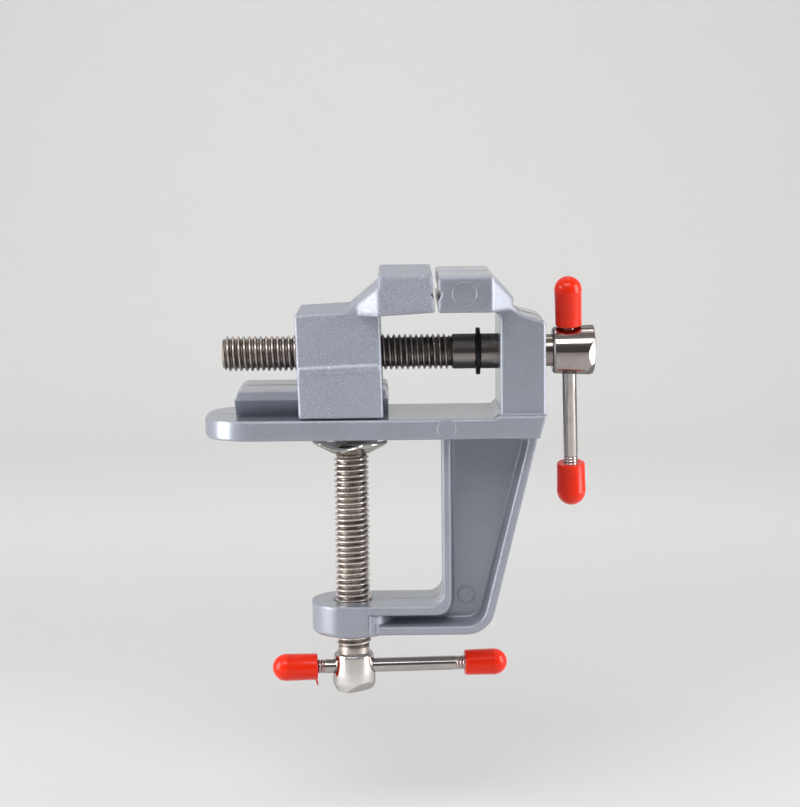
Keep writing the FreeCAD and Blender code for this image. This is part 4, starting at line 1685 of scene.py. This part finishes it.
@dataclass
class Lamp:
    """One rectangular softbox."""

    name: str
    place: tuple[float, float, float]
    size: tuple[float, float]
    power: float

    def build(self, target: tuple[float, float, float]) -> None:
        """Add the lamp, aimed at a point.

        Args:
            target: the point, in metres.
        """
        light = bpy.data.lights.new(self.name, "AREA")
        light.shape = "RECTANGLE"
        light.size = self.size[0]
        light.size_y = self.size[1]
        light.energy = self.power
        lamp = bpy.data.objects.new(self.name, light)
        lamp.location = self.place
        lamp.visible_camera = False
        aim = Vector(target) - Vector(self.place)
        lamp.rotation_euler = aim.to_track_quat("-Z", "Y").to_euler()
        bpy.context.scene.collection.objects.link(lamp)


@dataclass
class Studio:
    """Camera at the photograph's angle, soft lamps, pale floor and backdrop.

    The floor is as far below the object as the clamp screw can travel.
    """

    screw_travel: float = 32.8
    floor_gap: float = 0.5
    focal_px: float = 2052.0
    camera_place: tuple[float, float, float] = (11.2, -460.0, 66.5)
    pitch: float = 7.45
    roll: float = -0.65
    floor_depth: float = 900.0
    backdrop_height: float = 1200.0
    bend_radius: float = 300.0
    half_width: float = 1500.0
    front: float = -900.0
    horizon: float = 0.40
    zenith: float = 0.36
    upward: tuple[float, float] = (0.05, 0.95)
    front_share: float = 0.3
    forward: tuple[float, float] = (-0.98, -0.7)
    world_colour: tuple[float, float, float, float] = (1.0, 0.98, 0.96, 1.0)
    aim: tuple[float, float, float] = (0.01, 0.0, -0.01)
    backdrop_aim: tuple[float, float, float] = (0.0, 0.95, 0.4)

    def camera(self) -> None:
        """Set up the camera: focal length in pixels over the image height times the sensor."""
        data = bpy.data.cameras.new("photo_camera")
        data.sensor_fit = "VERTICAL"
        data.sensor_height = SENSOR_HEIGHT
        data.lens = self.focal_px / IMAGE_HEIGHT * SENSOR_HEIGHT
        data.clip_start = 0.01
        camera = bpy.data.objects.new("photo_camera", data)
        camera.location = Vector(self.camera_place) * METRES_PER_MM
        tilt = Matrix.Rotation(math.radians(90 - self.pitch), 3, "X")
        turn = Matrix.Rotation(math.radians(self.roll), 3, "Z")
        camera.rotation_euler = (tilt @ turn).to_euler()
        bpy.context.scene.collection.objects.link(camera)
        bpy.context.scene.camera = camera

    def floor(self, height: float) -> None:
        """Floor that bends up into a backdrop, just under the lowest point that the object reaches.

        Args:
            height: the floor's height in millimetres.
        """
        line = rounded_path([
            (self.front, height, 0),
            (self.floor_depth, height, self.bend_radius),
            (self.floor_depth, height + self.backdrop_height, 0),
        ], 24)
        side = np.linspace(-self.half_width, self.half_width, 3)
        cells = (3, len(line))
        columns = (side[:, None], line[None, :, 0], line[None, :, 1])
        grid = np.stack([np.broadcast_to(column, cells) for column in columns], axis=-1)
        index = np.arange(3 * len(line)).reshape(cells)
        faces = np.stack([index[:-1, :-1], index[1:, :-1], index[1:, 1:], index[:-1, 1:]], axis=-1)
        points = (grid.reshape(-1, 3) * METRES_PER_MM).tolist()
        mesh = bpy.data.meshes.new("studio_floor")
        mesh.from_pydata(points, [], faces.reshape(-1, 4).tolist())
        floor = finish_piece("studio_floor", mesh, Shading.SMOOTH)
        floor.data.materials.append(StudioFloor().build())

    def world(self) -> None:
        """World that is dimmest behind the camera, so that bright metal shows contrast."""
        world = bpy.data.worlds.new("studio_world")
        bpy.context.scene.world = world
        world.use_nodes = True
        nodes = Nodes(world.node_tree, "Generated")
        height = nodes.ramp(nodes.along("Z"), self.upward, self.horizon, self.zenith)
        front = nodes.ramp(nodes.along("Y"), self.forward, self.front_share)
        background = world.node_tree.nodes["Background"]
        nodes.join(background.inputs["Color"], self.world_colour)
        nodes.join(background.inputs["Strength"], nodes.math("MULTIPLY", height, front))

    def lights(self) -> None:
        """Softboxes round the object, and one that lights only the backdrop."""
        for lamp in (
            Lamp("lamp_key", (-0.12, -0.60, 0.72), (0.9, 0.36), 4.1),
            Lamp("strip_left", (-0.33, -0.10, 0.057), (0.20, 0.29), 1.25),
            Lamp("strip_right", (0.34, -0.075, 0.057), (0.17, 0.29), 1.05),
            Lamp("lamp_top", (0.0, 0.2, 0.9), (0.6, 0.3), 0.5),
        ):
            lamp.build(self.aim)
        Lamp("lamp_backdrop", (0.0, 0.3, 0.9), (1.6, 0.2), 4.0).build(self.backdrop_aim)

    def build(self) -> None:
        """Build camera, lamps and floor."""
        self.camera()
        low, _ = box_mm("clamp_screw")
        self.floor(float(low[2]) - self.screw_travel - self.floor_gap)
        self.world()
        self.lights()
        bpy.context.scene.view_settings.view_transform = "Standard"


def main_handle(screw: MainScrew) -> Handle:
    """Handle of the main screw, slid down until its upper cap rests on the head.

    Args:
        screw: the main screw.

    Returns:
        The handle.
    """
    upper = Cap(length=11.0, radius=3.05, skirt=0.3)
    lower = Cap(length=10.1, radius=3.3)
    upper_mouth = Bar.length / 2 + Handle.end_wall - upper.length
    shift = screw.head_radius + screw.cap_gap - upper_mouth
    caps = {"upper": (Side.AHEAD, upper), "lower": (Side.BEHIND, lower)}
    return Handle("main_handle", "main_handle", screw.hole_centre, screw.way, shift, caps)


def clamp_handle(screw: ClampScrew) -> Handle:
    """Handle of the clamp screw, slid towards the right.

    Args:
        screw: the clamp screw.

    Returns:
        The handle.
    """
    left = Cap(length=10.3, radius=3.1, tail=1.7)
    right = Cap(length=9.8, radius=3.0)
    caps = {"left": (Side.BEHIND, left), "right": (Side.AHEAD, right)}
    name = "clamp_handle"
    return Handle(name, name, screw.hole_centre, screw.way, screw.bar_shift, caps)


def main() -> None:
    """Build every sub-assembly in order, then the studio, and log the number of pieces."""
    logging.basicConfig(level=logging.INFO, format="%(message)s")
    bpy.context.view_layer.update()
    main_screw = MainScrew()
    clamp_screw = ClampScrew()
    parts = [
        Casting(),
        MovingJaw(),
        main_screw,
        RetainingRing(),
        main_handle(main_screw),
        clamp_screw,
        ClampPad(),
        clamp_handle(clamp_screw),
    ]
    count = sum(len(part.build()) for part in parts)
    Studio().build()
    LOG.info("%d pieces", count)


if __name__ == "__main__":
    main()
